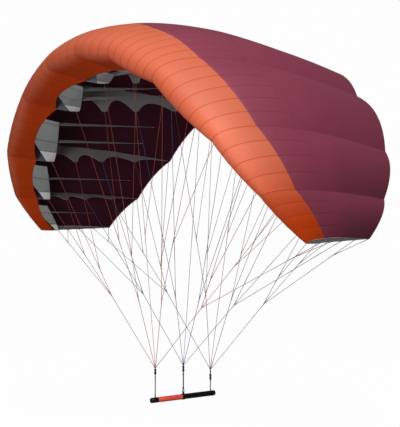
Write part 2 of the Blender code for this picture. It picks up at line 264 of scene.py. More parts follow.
# painted highlight on the orange nose: the chord shares over which its lit top turns paler, and the cells over which
# this gives way to the saturated colour of the shaded tips
LIT_TOP_START = -0.05
LIT_TOP_RUN = 0.07
LIT_TOP_END_CELL = 3.3
LIT_TOP_END_CELLS = 1.5

CELLS_PER_SIDE = len(CELL_WIDTHS)
ROOT_CHORD = CHORDS[0]
BAR_Z = -BAR_DEPTH
SWING_Z = BAR_Z + SWING_HEIGHT
RING_Z = BAR_Z + RING_HEIGHT
LETTERS = {1: "L", -1: "R"}


# Shapes of the wing, as formulas on whole arrays

def mix(first, second, share):
    """The value at a share of the way from the first to the second, on a straight line."""
    return first + (second - first) * share


def smooth(x):
    """A step from 0 to 1 with level ends: 3 x squared less 2 x cubed, for x kept between 0 and 1."""
    x = np.clip(x, 0.0, 1.0)
    return x * x * (3.0 - 2.0 * x)


def arch_wave(t):
    """Half a sine over the span shares from 0 to 1."""
    return np.sin(math.pi * np.clip(t, 0.0, 1.0))


def unit(ways):
    """Directions of length one."""
    return ways / np.maximum(np.linalg.norm(ways, axis=-1, keepdims=True), 1e-12)


def stacked(*parts):
    """Numbers or arrays spread to one shape and put side by side as the last axis."""
    return np.stack(np.broadcast_arrays(*parts), -1)


def section_height(x):
    """Height of the upper skin over the chord line, as a share of the depth: a sum of powers of x."""
    return 10.0 * (0.2969 * np.sqrt(x) - 0.1260 * x - 0.3516 * x ** 2 + 0.2843 * x ** 3 - 0.1036 * x ** 4)


CROWN_RISE = ROOT_CHORD * DEPTHS[0] * section_height(ROOT_NOSE_X / ROOT_CHORD) + SEAT_GAP + SKIN_THICKNESS


class Station:
    """One rib's plane: nose point, chord, depth and directions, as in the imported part."""

    def __init__(self, index, side):
        share = index / CELLS_PER_SIDE
        cant = TIP_CANT * share ** CANT_POWER
        pitch = TIP_PITCH * share ** 2
        toe = TIP_TOE * share ** 2
        middles = TIP_CANT * ((np.arange(index) + 0.5) / CELLS_PER_SIDE) ** CANT_POWER
        widths = np.array(CELL_WIDTHS[:index])
        across, down = (widths * np.cos(middles)).sum(), (widths * np.sin(middles)).sum()
        outward = np.array([0.0, math.sin(cant), math.cos(cant)])
        spanwise = np.array([0.0, math.cos(cant), -math.sin(cant)])
        aft = np.array([-math.cos(toe), 0.0, 0.0]) - spanwise * math.sin(toe)
        along = aft * math.cos(pitch) - outward * math.sin(pitch)
        up = outward * math.cos(pitch) + aft * math.sin(pitch)
        at_tip = index == CELLS_PER_SIDE
        lean = TIP_LEAN if at_tip else 0.0
        mirror = np.array([1.0, side, 1.0])
        nose_x = ROOT_NOSE_X - NOSE_SWEEP * share ** SWEEP_POWER
        self.nose = np.array([nose_x, side * across, -down - CROWN_RISE])
        self.along = mirror * along
        self.up = mirror * (up * math.cos(lean) - np.cross(along, up) * math.sin(lean))
        self.face = np.cross(self.along, self.up)
        self.chord = mix(CHORDS[1], CHORDS[0], 1.0 - share ** CHORD_POWER)
        self.depth = mix(*DEPTHS, share ** 2)
        self.foot = self.depth * (TIP_LINE_DEPTH if at_tip else TAB_LINE_DEPTH)
        self.arch = TIP_ARCH_SHARE if at_tip else ARCH_SHARE
        self.lip = self.depth * mix(*LIP_SHARES, share ** 2)
        self.droop = self.depth * mix(*LIP_DROOPS, share ** 2)
        self.band = ROOT_BAND + BAND_SLOPE * share + BAND_CURVE * share ** 2

    def point(self, x, height):
        """Points of the rib's plane: nose plus along times x plus up times height, in chords."""
        x, height = np.asarray(x, float), np.asarray(height, float)
        return self.nose + self.chord * (self.along * x[..., None] + self.up * height[..., None])

    def top(self, x):
        """Height of the upper skin at x."""
        return self.depth * section_height(x)

    def tab_line(self, x):
        """Height of the line on which the tabs end, which rises evenly to the tail."""
        return -self.foot * (1.0 - x)

    def line_point(self, x):
        """Where a line ends under a tab at x, with its seat gap."""
        return self.point(x, self.tab_line(x)) - self.up * SEAT_GAP

    def under(self, x):
        """Height of the underside: a round nose to the drooping lip, a straight run, then the tab line."""
        v = np.sqrt(np.clip(x / LIP_CHORD, 0.0, 1.0))
        nose = -self.lip * np.sqrt(v * (2.0 - v)) - self.droop * v ** 4
        share = np.clip((x - LIP_CHORD) / (BELLY_CHORD - LIP_CHORD), 0.0, 1.0)
        return mix(nose, self.tab_line(np.maximum(x, BELLY_CHORD)), share)


STATIONS = {side: [Station(index, side) for index in range(CELLS_PER_SIDE + 1)] for side in (1, -1)}


def band_chord(side, cell, t):
    """Chord share of the seam between the two cloths: a straight line between two ribs."""
    inner, outer = STATIONS[side][cell:cell + 2]
    return mix(inner.band, outer.band, t)


def lip_chord(cell, t):
    """Where the orange cloth ends under the nose: a straight line less an arch, half a sine to a power."""
    return mix(*LIP_RIBS[cell:cell + 2], t) - LIP_ARCHES[cell] * arch_wave(t) ** LIP_ARCH_POWER


def cross_seam(t):
    """Chord share of the seam across the maroon cloth: it bows back between the ribs, a sine to a power."""
    return CROSS_SEAM + CROSS_SEAM_BOW * arch_wave(t) ** CROSS_SEAM_POWER


def between_ribs(side, cell, x, t, upper):
    """Points between two ribs at chord shares x and span shares t.

    Each is on the straight line between the two sections, pushed outwards by a
    parabola of the span share. Also gives that outward way and the cell's width there.
    """
    ends, ways = [], []
    for station in STATIONS[side][cell:cell + 2]:
        height = np.where(upper, station.top(x), station.under(x))
        step = np.gradient(np.stack([x, height], -1) * station.chord, axis=0)
        turned = np.where(upper, 1.0, -np.sign(step[..., 0]))[..., None]
        ends.append(station.point(x, height))
        ways.append(unit(station.up * step[..., :1] - station.along * step[..., 1:]) * turned)
    across = ends[1] - ends[0]
    width = np.linalg.norm(across, axis=-1)
    swell = unit(ways[0] + ways[1])
    grown = np.where(upper, np.clip((x - BULGE_START) / BULGE_RUN, 0.0, 1.0), 0.0)
    size = mix(NOSE_BULGE, TAIL_BULGE, grown) * width
    points = ends[0] + across * t[..., None] + swell * (size * 4.0 * t * (1.0 - t) + SEAT_GAP)[..., None]
    return points, swell, width


# Meshes from grids

class Grids:
    """Collects grids of points into one mesh: quads between neighbours, and fans over open rings."""

    def __init__(self):
        self.points, self.places, self.marks, self.tints = [], [], [], []
        self.quads, self.fans = [], [np.zeros((0, 3), int)]
        self.count = 0

    def keep(self, points, place, marks, tints):
        """Keep more points, each with its place in the UV map, its mark and its tint."""
        self.points.append(points.reshape(-1, 3))
        self.places.append(place.reshape(-1, 2))
        self.marks.append(marks.reshape(-1))
        self.tints.append(tints.reshape(-1))
        self.count += marks.size

    def add(self, points, wrap_rows=False, wrap_columns=False, caps=False, place=None, marks=0.0, tints=0.0):
        """Add a (rows, columns, 3) grid. caps closes the first and last row of a grid whose columns wrap."""
        shape = points.shape[:2]
        place = np.zeros(shape + (2,)) if place is None else place
        marks, tints = np.broadcast_to(marks, shape), np.broadcast_to(tints, shape)
        index = np.arange(shape[0] * shape[1]).reshape(shape) + self.count
        if wrap_rows:
            index = np.vstack([index, index[:1]])
        if wrap_columns:
            index = np.hstack([index, index[:, :1]])
        quads = np.stack([index[:-1, :-1], index[:-1, 1:], index[1:, 1:], index[1:, :-1]], -1)
        self.quads.append(quads.reshape(-1, 4))
        self.keep(points, place, marks, tints)
        for row, order in ((0, (0, 1, 2)), (-1, (0, 2, 1))) if caps else ():
            centre = np.full(shape[1], self.count)
            self.fans.append(np.stack([index[row, :-1], index[row, 1:], centre], -1)[:, order])
            self.keep(points[row].mean(axis=0), place[row].mean(axis=0), np.zeros(1), tints[row, :1])

    def build(self, name, finish):
        """Make the object, with the places as its UV map and the marks and tints as attributes."""
        points, quads, fans = (np.concatenate(part) for part in (self.points, self.quads, self.fans))
        loops = np.concatenate([quads.ravel(), fans.ravel()]).astype(np.int32)
        starts = np.concatenate([np.arange(len(quads)) * 4, quads.size + np.arange(len(fans)) * 3])
        mesh = bpy.data.meshes.new(name)
        mesh.vertices.add(len(points))
        mesh.vertices.foreach_set("co", points.astype(np.float32).ravel())
        mesh.loops.add(len(loops))
        mesh.loops.foreach_set("vertex_index", loops)
        mesh.polygons.add(len(starts))
        mesh.polygons.foreach_set("loop_start", starts.astype(np.int32))
        mesh.update(calc_edges=True)
        mesh.polygons.foreach_set("use_smooth", np.full(len(starts), True))
        layer = mesh.uv_layers.new(name="surface")
        layer.data.foreach_set("uv", np.concatenate(self.places)[loops].astype(np.float32).ravel())
        for label, values in (("mark", self.marks), ("tint", self.tints)):
            layer = mesh.attributes.new(label, "FLOAT", "POINT")
            layer.data.foreach_set("value", np.concatenate(values).astype(np.float32))
        mesh.validate()
        obj = bpy.data.objects.new(name, mesh)
        bpy.context.scene.collection.objects.link(obj)
        mesh.materials.append(finish)
        return obj


def thicken(obj, offset, shaded_inside=None):
    """Give a sheet its wall, outwards for offset 1 or to both sides for 0, and a darker copy of its cloth on the
    wall's inner face if it has one, which is painted shade.
    """
    wall = obj.modifiers.new("wall", "SOLIDIFY")
    wall.thickness = CLOTH_THICKNESS
    wall.offset = offset
    if shaded_inside:
        obj.data.materials.append(shaded_inside)
        wall.material_offset = 1


def belongs(obj, body, slot, *replaced):
    """Let a piece ride on its body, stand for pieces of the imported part, and have their slot."""
    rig.ride(obj, body)
    if replaced:
        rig.replaces(obj, *replaced)
    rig.slot(obj, slot)
    return obj


def declare_sheet(obj, points, rests_on, pieces=(), length=None):
    """Say that a piece is a taut sheet, cut as long, as wide and as large as its grid is along its surface.

    A flat piece with a wavy edge gives its straight length itself.
    """
    down = length or np.linalg.norm(np.diff(points, axis=0), axis=-1).sum(axis=0).max()
    along = np.linalg.norm(np.diff(points, axis=1), axis=-1).sum(axis=1).max()
    crossed = np.cross(points[1:, 1:] - points[:-1, :-1], points[1:, :-1] - points[:-1, 1:])
    area = 0.5 * np.linalg.norm(crossed, axis=-1).sum()
    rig.sheet(obj, flat=(float(down), float(along)), held="stretched", rests_on=rests_on, area=float(area),
             with_pieces=pieces)


def run_length(points):
    """Distance along a path, or down each column of a grid, from its first point."""
    steps = np.linalg.norm(np.diff(points, axis=0), axis=-1)
    return np.concatenate([np.zeros_like(steps[:1]), np.cumsum(steps, axis=0)])


def surface_place(points):
    """Distances along the rows and along the columns of a grid, in metres, for its UV map."""
    return stacked(run_length(points[points.shape[0] // 2]), run_length(points))


def carried(path, sideways, upwards, profile):
    """A closed profile carried along a path: its two numbers go sideways and upwards from each point."""
    profile = np.broadcast_to(profile, (len(path),) + profile.shape[-2:])
    return path[:, None] + sideways[:, None] * profile[..., :1] + upwards[:, None] * profile[..., 1:]


def turns(steps):
    """Even angles round a full turn."""
    return np.arange(steps) * 2.0 * math.pi / steps


def circle(steps, radius=1.0):
    """A circle as steps points: cosine and sine of even angles, times the radius or the two half widths."""
    return stacked(np.cos(turns(steps)), np.sin(turns(steps))) * radius


def add_tube(grids, path, radii, sides=8):
    """A closed round tube along a path, with a radius for each of its points."""
    tangent = unit(np.gradient(path, axis=0))
    hint = np.eye(3)[int(np.argmin(np.abs(tangent.mean(axis=0))))]
    first = unit(np.cross(tangent, hint))
    radii = np.broadcast_to(np.asarray(radii, float), (len(path),))
    ring = carried(path, first, np.cross(tangent, first), circle(sides)[None] * radii[:, None, None])
    place = stacked(np.arange(sides) / sides, run_length(path)[:, None])
    grids.add(ring, wrap_columns=True, caps=True, place=place)


def one_grid(name, finish, points, **options):
    """Make the object of a single grid."""
    grids = Grids()
    grids.add(points, **options)
    return grids.build(name, finish)


def straight(start, end, steps):
    """Even points from start to end."""
    return mix(np.asarray(start), np.asarray(end), np.linspace(0.0, 1.0, steps)[:, None])


# Node tools for the materials

def fill(tree, made, inputs):
    """Link or set a node's inputs by name or number."""
    for key, value in inputs.items():
        if isinstance(value, bpy.types.NodeSocket):
            tree.links.new(value, made.inputs[key])
        else:
            made.inputs[key].default_value = value
    return made


def node(tree, kind, inputs=None, **settings):
    """Add a node, set its properties and fill its inputs."""
    made = tree.nodes.new(kind)
    for key, value in settings.items():
        setattr(made, key, value)
    return fill(tree, made, inputs or {})


def maths(tree, operation, first, second=0.0, clamp=False):
    """One Math node's output."""
    made = node(tree, "ShaderNodeMath", {0: first, 1: second}, operation=operation, use_clamp=clamp)
    return made.outputs[0]


def times(tree, first, second):
    """Two numbers multiplied."""
    return maths(tree, "MULTIPLY", first, second)


def plus(tree, first, second):
    """Two numbers added."""
    return maths(tree, "ADD", first, second)


def colour_mix(tree, factor, first, second):
    """One colour Mix node's output."""
    return node(tree, "ShaderNodeMix", {0: factor, 6: first, 7: second}, data_type="RGBA").outputs[2]


def places(tree, kind="UV"):
    """The places of a surface: its UV map in metres, or Object coordinates."""
    return node(tree, "ShaderNodeTexCoord").outputs[kind]


def uv_parts(tree):
    """The two numbers of the UV map, one socket each."""
    return node(tree, "ShaderNodeSeparateXYZ", {0: places(tree)}).outputs


def attribute(tree, name):
    """A number kept on the mesh's points."""
    return node(tree, "ShaderNodeAttribute", attribute_name=name).outputs["Fac"]


def bump(tree, height, strength, distance):
    """The normal bent by a height."""
    inputs = {"Strength": strength, "Distance": distance, "Height": height}
    return node(tree, "ShaderNodeBump", inputs).outputs["Normal"]


def tinted(colour, share):
    """A colour made darker or lighter by a share, with full alpha."""
    return tuple(min(1.0, value * share) for value in colour) + (1.0,)


def new_material(name):
    """A material with nodes; returns it with its tree and Principled shader."""
    material = bpy.data.materials.new(name)
    material.use_nodes = True
    return material, material.node_tree, material.node_tree.nodes["Principled BSDF"]


def finish_with(tree, share, shader, other):
    """Put a mix of two shaders out as the surface."""
    mixed = node(tree, "ShaderNodeMixShader", {0: share, 1: shader.outputs[0], 2: other.outputs[0]})
    fill(tree, tree.nodes["Material Output"], {"Surface": mixed.outputs[0]})


def group(name, inputs, outputs):
    """A node group of numbers with named sockets: returns it with its given and its result node."""
    made = bpy.data.node_groups.new(name, "ShaderNodeTree")
    for label, value in inputs:
        made.interface.new_socket(label, in_out="INPUT", socket_type="NodeSocketFloat").default_value = value
    for label in outputs:
        made.interface.new_socket(label, in_out="OUTPUT", socket_type="NodeSocketFloat")
    return made, made.nodes.new("NodeGroupInput").outputs, made.nodes.new("NodeGroupOutput")


# Cloth: its weave, stitches and slow tone, in metres, or in shares of a square or a stitch
RIPSTOP_SQUARE = 0.005
THREAD_SHARE = 0.055
THREAD_HEIGHT = 0.65
WEAVE_HEIGHT = 0.35
WEAVE_SCALE = 1500.0
STITCH_OFFSET = 0.0022
STITCH_LENGTH = 0.004
STITCH_HALF = 0.0004
STITCH_SHARE = 0.68
FOLD_WIDTH = 0.0045
SLOW_SCALE = 6.0
CLOTH_SLOW_SCALE = 5.0
CLOTH_TONES = (0.93, 1.07)
CLOTH_ROUGHNESS = 0.55
CLOTH_BUMP = (0.25, 0.0002)
THREAD_TINT = 0.35
THREAD_TONE = 0.82
THREAD_ROUGHNESS = -0.08
FOLD_TINT = 0.8
STITCH_TONE = 1.25
STITCH_HEIGHT = 1.5


def ripstop_group():
    """Square grid of heavier threads over a fine weave, from the UV map in metres."""
    made, given, result = group("ripstop weave", [("Square", RIPSTOP_SQUARE)], ["Threads", "Height"])
    place = places(made)
    parts = node(made, "ShaderNodeSeparateXYZ", {0: place}).outputs
    lines = []
    for axis in (0, 1):
        swing = maths(made, "PINGPONG", maths(made, "DIVIDE", parts[axis], given["Square"]), 0.5)
        lines.append(maths(made, "LESS_THAN", swing, THREAD_SHARE))
    threads = maths(made, "MAXIMUM", *lines)
    weave = node(made, "ShaderNodeTexNoise", {"Vector": place, "Scale": WEAVE_SCALE, "Detail": 2.0})
    fine = times(made, weave.outputs["Fac"], WEAVE_HEIGHT)
    fill(made, result, {"Threads": threads, "Height": plus(made, times(made, threads, THREAD_HEIGHT), fine)})
    return made


def seam_group():
    """Twin rows of stitches and a darker fold beside each seam, from the attribute mark in metres."""
    made, given, result = group("seam stitches", [("Offset", STITCH_OFFSET), ("Stitch", STITCH_LENGTH),
                                                  ("Fold Width", FOLD_WIDTH)], ["Stitches", "Fold"])
    mark = attribute(made, "mark")
    away = maths(made, "ABSOLUTE", maths(made, "SUBTRACT", mark, given["Offset"]))
    near = maths(made, "LESS_THAN", away, STITCH_HALF)
    dash = maths(made, "FRACT", maths(made, "DIVIDE", uv_parts(made)[1], given["Stitch"]))
    stitches = times(made, near, maths(made, "LESS_THAN", dash, STITCH_SHARE))
    fold = maths(made, "SUBTRACT", 1.0, maths(made, "DIVIDE", mark, given["Fold Width"]), clamp=True)
    fill(made, result, {"Stitches": stitches, "Fold": fold})
    return made


def cloud_group():
    """Slow change of tone over a surface, from Object coordinates: noise at several sizes, from 0 to 1."""
    made, given, result = group("slow tone", [("Scale", SLOW_SCALE)], ["Tone"])
    noise = node(made, "ShaderNodeTexNoise", {"Vector": places(made, "Object"), "Scale": given["Scale"],
                                              "Detail": 3.0, "Roughness": 0.55})
    fill(made, result, {"Tone": noise.outputs["Fac"]})
    return made


# Cords and moulded pieces
# painted shade in the valleys between a braid's strands, and a lighter tone on their crowns
BRAID_VALLEY_SHADE_TONES = (0.7, 1.12)
BRAID_ROUND = 4.0
BRAID_SHINE = 0.2
BRAID_BUMP = (0.5, 0.0002)
GRAIN_TONES = (0.82, 1.2)
GRAIN_SLOW_SCALE = 60.0
GRAIN_ROUGHNESS = 0.18
GRAIN_BUMP = 0.4

RIPSTOP = ripstop_group()
STITCHES = seam_group()
SLOW_TONE = cloud_group()


def slow_tone(tree, scale, dark, light):
    """A colour that drifts slowly between a dark and a light one."""
    tone = node(tree, "ShaderNodeGroup", {"Scale": scale}, node_tree=SLOW_TONE)
    return colour_mix(tree, tone.outputs["Tone"], dark, light)


def cloth_material(name, colour, glow, seen_through, second=None, fold_dark=0.72, fold_width=FOLD_WIDTH,
                   square=RIPSTOP_SQUARE, shine=0.3):
    """Thin coated cloth that lets part of the light through, with its weave, stitches and slow tone.

    Where the attribute tint is 1 the cloth has its second colour.
    """
    material, tree, shader = new_material(name)
    weave = node(tree, "ShaderNodeGroup", {"Square": square}, node_tree=RIPSTOP).outputs
    seams = node(tree, "ShaderNodeGroup", {"Fold Width": fold_width}, node_tree=STITCHES).outputs
    base = slow_tone(tree, CLOTH_SLOW_SCALE, *[tinted(colour, tone) for tone in CLOTH_TONES])
    if second:
        base = colour_mix(tree, attribute(tree, "tint"), base, tinted(second, 1.0))
    base = colour_mix(tree, times(tree, weave["Threads"], THREAD_TINT), base, tinted(colour, THREAD_TONE))
    base = colour_mix(tree, times(tree, seams["Fold"], FOLD_TINT), base, tinted(colour, fold_dark))
    base = colour_mix(tree, seams["Stitches"], base, tinted(colour, STITCH_TONE))
    rough = plus(tree, times(tree, weave["Threads"], THREAD_ROUGHNESS), CLOTH_ROUGHNESS)
    height = plus(tree, weave["Height"], times(tree, seams["Stitches"], STITCH_HEIGHT))
    fill(tree, shader, {"Base Color": base, "Specular IOR Level": shine, "Roughness": rough,
                        "Normal": bump(tree, height, *CLOTH_BUMP)})
    finish_with(tree, seen_through, shader, node(tree, "ShaderNodeBsdfTranslucent", {"Color": (*glow, 1.0)}))
    return material


def braid_material(name, colour, roughness=0.6, strands_per_metre=900.0):
    """Braided cord: crossing strands worked out from the UV map, with painted shade in the valleys between them and a
    lighter tone on their crowns.
    """
    material, tree, shader = new_material(name)
    parts = uv_parts(tree)
    length = times(tree, parts[1], strands_per_metre)
    across = times(tree, parts[0], BRAID_ROUND)
    crossing = [maths(tree, "PINGPONG", maths(tree, way, length, across), 0.5) for way in ("ADD", "SUBTRACT")]
    strands = times(tree, maths(tree, "MAXIMUM", *crossing), 2.0)
    # painted shade: darker where the strands dip into valleys, lighter on their crowns
    base = colour_mix(tree, strands, *[tinted(colour, tone) for tone in BRAID_VALLEY_SHADE_TONES])
    fill(tree, shader, {"Base Color": base, "Roughness": roughness, "Specular IOR Level": BRAID_SHINE,
                        "Normal": bump(tree, strands, *BRAID_BUMP)})
    return material


def grained_material(name, colour, roughness, grain, depth, metallic=0.0, shine=0.5):
    """Moulded rubber, plastic or metal: fine grain in its height and roughness, and a slow tone."""
    material, tree, shader = new_material(name)
    inputs = {"Vector": places(tree, "Object"), "Scale": grain, "Detail": 3.0}
    fine = node(tree, "ShaderNodeTexNoise", inputs).outputs["Fac"]
    base = slow_tone(tree, GRAIN_SLOW_SCALE, *[tinted(colour, tone) for tone in GRAIN_TONES])
    rough = plus(tree, times(tree, fine, GRAIN_ROUGHNESS), roughness - 0.5 * GRAIN_ROUGHNESS)
    fill(tree, shader, {"Base Color": base, "Roughness": rough, "Metallic": metallic,
                        "Specular IOR Level": shine, "Normal": bump(tree, fine, GRAIN_BUMP, depth)})
    return material


GREY_GLOW = (0.3, 0.3, 0.3)
# the orange cloth's second colour, paler, is a painted highlight on the lit top of the nose
ORANGE_CLOTH = cloth_material("orange ripstop", (0.66, 0.070, 0.002), (1.0, 0.10, 0.0), 0.32,
                              (0.69, 0.185, 0.095), fold_dark=0.55, fold_width=0.0035)
MAROON_CLOTH = cloth_material("maroon ripstop", (0.25, 0.034, 0.069), (0.35, 0.02, 0.045), 0.14, shine=0.6,
                              fold_dark=0.5)
# painted shade: the canopy's inner face is the same maroon cloth as its outside, given a much darker colour because it
# lies in shadow
MAROON_SHADED_INSIDE = cloth_material("maroon ripstop shaded inside", (0.046, 0.002, 0.0125), (0.35, 0.02, 0.045), 0.14)
RIB_CLOTH = cloth_material("grey rib cloth", (0.38, 0.38, 0.37), GREY_GLOW, 0.08, (0.30, 0.35, 0.43))
# the pale grey cloth's second colour, near white, is painted light on each panel's outer end
BELLY_CLOTH = cloth_material("pale grey cloth", (0.36, 0.37, 0.37), (0.85, 0.86, 0.87), 0.08,
                             (1.0, 1.0, 0.99), fold_dark=0.3, fold_width=0.009)
TAPE_CLOTH = cloth_material("grey tape", (0.50, 0.505, 0.50), GREY_GLOW, 0.05, square=0.002)
PIPING_CLOTH = cloth_material("pale piping", (0.62, 0.61, 0.60), GREY_GLOW, 0.05, square=0.002)
FRONT_LINE = braid_material("front line braid", (0.34, 0.085, 0.065))
MIDDLE_LINE = braid_material("middle line braid", (0.07, 0.11, 0.25))
REAR_LINE = braid_material("rear line braid", (0.19, 0.07, 0.05))
BLACK_BRAID = braid_material("black leader braid", (0.010, 0.010, 0.011), 0.7, 500.0)
SLEEVE_BRAID = braid_material("sleeve braid", (0.012, 0.012, 0.013), 0.65, 400.0)
BLACK_RUBBER = grained_material("black grip rubber", (0.005, 0.005, 0.0055), 0.6, 1400.0, 0.00008, shine=0.12)
RED_RUBBER = grained_material("red grip rubber", (0.72, 0.075, 0.050), 0.5, 1400.0, 0.00005)
BLACK_PLASTIC = grained_material("black moulding", (0.006, 0.006, 0.0065), 0.42, 2200.0, 0.0001, shine=0.25)
STEEL = grained_material("dark steel", (0.07, 0.07, 0.072), 0.34, 3000.0, 0.00005, 1.0)
DARK_TUBE = grained_material("dark tube", (0.07, 0.07, 0.075), 0.36, 2500.0, 0.00005, 0.8)


# The two skins

def span_shares(cell):
    """Span shares of a cell's columns, closer together beside each short seam, with both ends."""
    steps = (np.arange(SUBCELLS[cell])[:, None] + np.array(SEAM_STEPS)) / SUBCELLS[cell]
    return np.append(steps.ravel(), 1.0)


def tip_to_tip(make_cell):
    """The cells' grids side by side from the right tip to the left, without the columns that two would share.

    make_cell gives the grid of a side's cell at its span shares.
    """
    cells = range(CELLS_PER_SIDE)
    order = [(-1, cell) for cell in reversed(cells)] + [(1, cell) for cell in cells]
    strips = [make_cell(side, cell, span_shares(cell)[::side]) for side, cell in order]
    return np.hstack(strips[:1] + [strip[:, 1:] for strip in strips[1:]])


def skin(word, finish, shaded_inside, rows_at, upper, puff_at, pieces=()):
    """A skin over all ten cells: rows_at gives its chord shares, puff_at how much it puffs there.

    Each point of a cell is pushed out by the puff, a parabola between two short
    seams, and by the seam's ridge, a bell curve of the distance from the seam. The
    maroon cloth drops under the orange one's lap. The tint is a painted highlight:
    it rises in a smooth step over the lit top of the nose, where the cloth is drawn
    paler, and falls in another towards the tips, which lie in shade.
    """
    upper = upper[:, None]

    def skin_cell(side, cell, t):
        """Points, marks and tints of one cell."""
        x = rows_at(side, cell, t)
        t = np.broadcast_to(t, x.shape)
        points, swell, width = between_ribs(side, cell, x, t, upper)
        within = np.mod(t * SUBCELLS[cell], 1.0)
        seam = np.minimum(within, 1.0 - within) * width / SUBCELLS[cell]
        rib = np.minimum(t, 1.0 - t) * width
        puff = puff_at(cell, x, t)
        strong = np.maximum(puff, np.exp(-(rib / SEAM_HALF) ** 2))
        lift = PUFF * puff * 4.0 * within * (1.0 - within)
        lift = lift + SEAM_RIDGE * strong * np.exp(-(seam / SEAM_HALF) ** 2)
        if word == "canopy":
            past = (x - band_chord(side, cell, t)) * ROOT_CHORD / LAP_LENGTH
            lift = lift - LAP_DROP * (1.0 - smooth(past))
        mark = np.where(puff > PUFF_LEAST, seam, rib)
        mark = np.where(upper, np.minimum(mark, np.abs(x - cross_seam(t)) * ROOT_CHORD), mark)
        # painted highlight: the tint is 1 over the lit top of the nose and falls to 0 under it and towards the tips,
        # which lie in shade
        over = smooth((np.where(upper, x, -x) - LIT_TOP_START) / LIT_TOP_RUN)
        tint = over * (1.0 - smooth((cell + t - LIT_TOP_END_CELL) / LIT_TOP_END_CELLS))
        return np.dstack([points + swell * lift[..., None], mark, tint])

    whole = tip_to_tip(skin_cell)
    points = whole[..., :3]
    obj = one_grid(f"{word}_cloth", finish, points, place=surface_place(points), marks=whole[..., 3],
                   tints=whole[..., 4])
    thicken(obj, 1.0, shaded_inside)
    sides = [f"{letter}{number}" for letter in "LR" for number in range(1, CELLS_PER_SIDE + 1)]
    belongs(obj, "wing", word, *[f"{word}_{end}" for end in sides])
    declare_sheet(obj, points, ["rib_0"] + [f"rib_{end}" for end in sides], pieces)


def nose_rows(side, cell, t):
    """Chord shares of the orange cloth: lip times a cube down to the nose, then band times a square.

    One narrow row more lies along each of its two edges.
    """
    under = np.arange(NOSE_UNDER_ROWS - 1) / (NOSE_UNDER_ROWS - 1)
    under = np.append(1.0, NOSE_UNDER_EDGE * (1.0 - under) ** 3)
    upper = np.append(NOSE_UPPER_EDGE * (np.arange(NOSE_UPPER_ROWS) / (NOSE_UPPER_ROWS - 1)) ** 2, 1.0)
    return np.vstack([under[:, None] * lip_chord(cell, t), upper[:, None] * band_chord(side, cell, t)])


def canopy_rows(side, cell, t):
    """Chord shares of the maroon cloth: its lap under the orange, then on to the cross seam and the tail."""
    band = band_chord(side, cell, t)
    seam = cross_seam(t)
    return np.vstack([band - LAP_LENGTH / ROOT_CHORD, mix(band, seam, FORE_STEPS[:, None]),
                      mix(seam, 1.0, AFT_STEPS[:, None])])


def nose_puff(cell, x, t):
    """The orange cloth puffs everywhere between its short seams."""
    return np.ones_like(x)


def canopy_puff(cell, x, t):
    """The maroon cloth's puffs fade out towards the cross seam."""
    return 1.0 - smooth((x - PUFF_FADE_CHORD) / (cross_seam(t) - PUFF_FADE_CHORD))


def make_skins():
    """The orange nose cloth and the maroon canopy cloth, each in one piece from tip to tip."""
    nose_upper = np.arange(NOSE_UNDER_ROWS + NOSE_UPPER_ROWS + 1) >= NOSE_UNDER_ROWS
    skin("nose", ORANGE_CLOTH, None, nose_rows, nose_upper, nose_puff)
    canopy_upper = np.full(1 + len(FORE_STEPS) + len(AFT_STEPS), True)
    skin("canopy", MAROON_CLOTH, MAROON_SHADED_INSIDE, canopy_rows, canopy_upper, canopy_puff, [tail_hem()])


# The folded tape along the tail; NO_SEAM is a mark too far from a seam to show one
HEM_CHORDS = (0.985, 0.9975)
HEM_SIDES = 10
HEM_HALVES = np.array([0.0035, 0.0009])
HEM_LIFT = 0.0004
NO_SEAM = 0.01


def tail_hem():
    """A folded tape along the whole tail edge: a flat oval profile carried from tip to tip."""
    def hem_cell(side, cell, t):
        """Points and outward ways of one cell on two lines near the tail."""
        x = np.array(HEM_CHORDS)[:, None] * np.ones_like(t)
        return np.dstack(between_ribs(side, cell, x, np.broadcast_to(t, x.shape), True)[:2])

    both = tip_to_tip(hem_cell)
    path, aft, outward = both[1, :, :3], unit(both[1, :, :3] - both[0, :, :3]), both[1, :, 3:]
    ring = carried(path + outward * HEM_LIFT, aft, outward, circle(HEM_SIDES, HEM_HALVES))
    place = stacked(np.arange(HEM_SIDES) / 1000.0, run_length(path)[:, None])
    obj = one_grid("tail_hem", MAROON_CLOTH, ring, wrap_columns=True, caps=True, marks=NO_SEAM, place=place)
    return belongs(obj, "wing", "canopy")


# The pale belly panels and the grey tapes behind them; chord and span shares, one for each cell
PANEL_STARTS = (0.20, 0.16, 0.21, 0.12, 0.19)
PANEL_CORNERS = (0.45, 0.60, 0.66, 0.64, 0.62)
PANEL_FRONT_END = 0.204
PANEL_REAR_STARTS = (0.184, 0.163, 0.176, 0.208, 0.208)
PANEL_REAR_END = 0.250
# painted light: from this span share on, each panel's outer end is drawn paler, as a pool of light, with a seam line
# at its edge
PANEL_LIT_END = 0.78
LIT_END_COLUMNS = np.linspace(PANEL_LIT_END + 0.004, 0.992, 12)
PANEL_ROWS = np.concatenate([[0.0, 0.03], np.linspace(0.08, 0.92, 12), [0.97, 1.0]])[:, None]
PANEL_SINK_ROWS = 0.06
# For each tape: span share at the panel, span share and chord share at its end on the skin
TAPE_RUNS = (((0.32, 0.54, 0.78),), ((0.28, 0.845, 0.70), (0.57, 0.93, 0.76)),
             ((0.27, 0.575, 0.808), (0.585, 0.84, 0.798)), ((0.44, 0.645, 0.866),), ((0.415, 0.615, 0.70),))
TAPE_FRONT_DEPTH = 0.025
TAPE_REAR_DEPTH = 0.003
TAPE_TIP_DEPTH = 0.002
TAPE_HALF = 0.0005
TAPE_GAP = 0.0006
TAPE_START = 0.004
TAPE_OVER_ROWS = 10
TAPE_FREE_ROWS = 26
TAPE_SIDES = 12


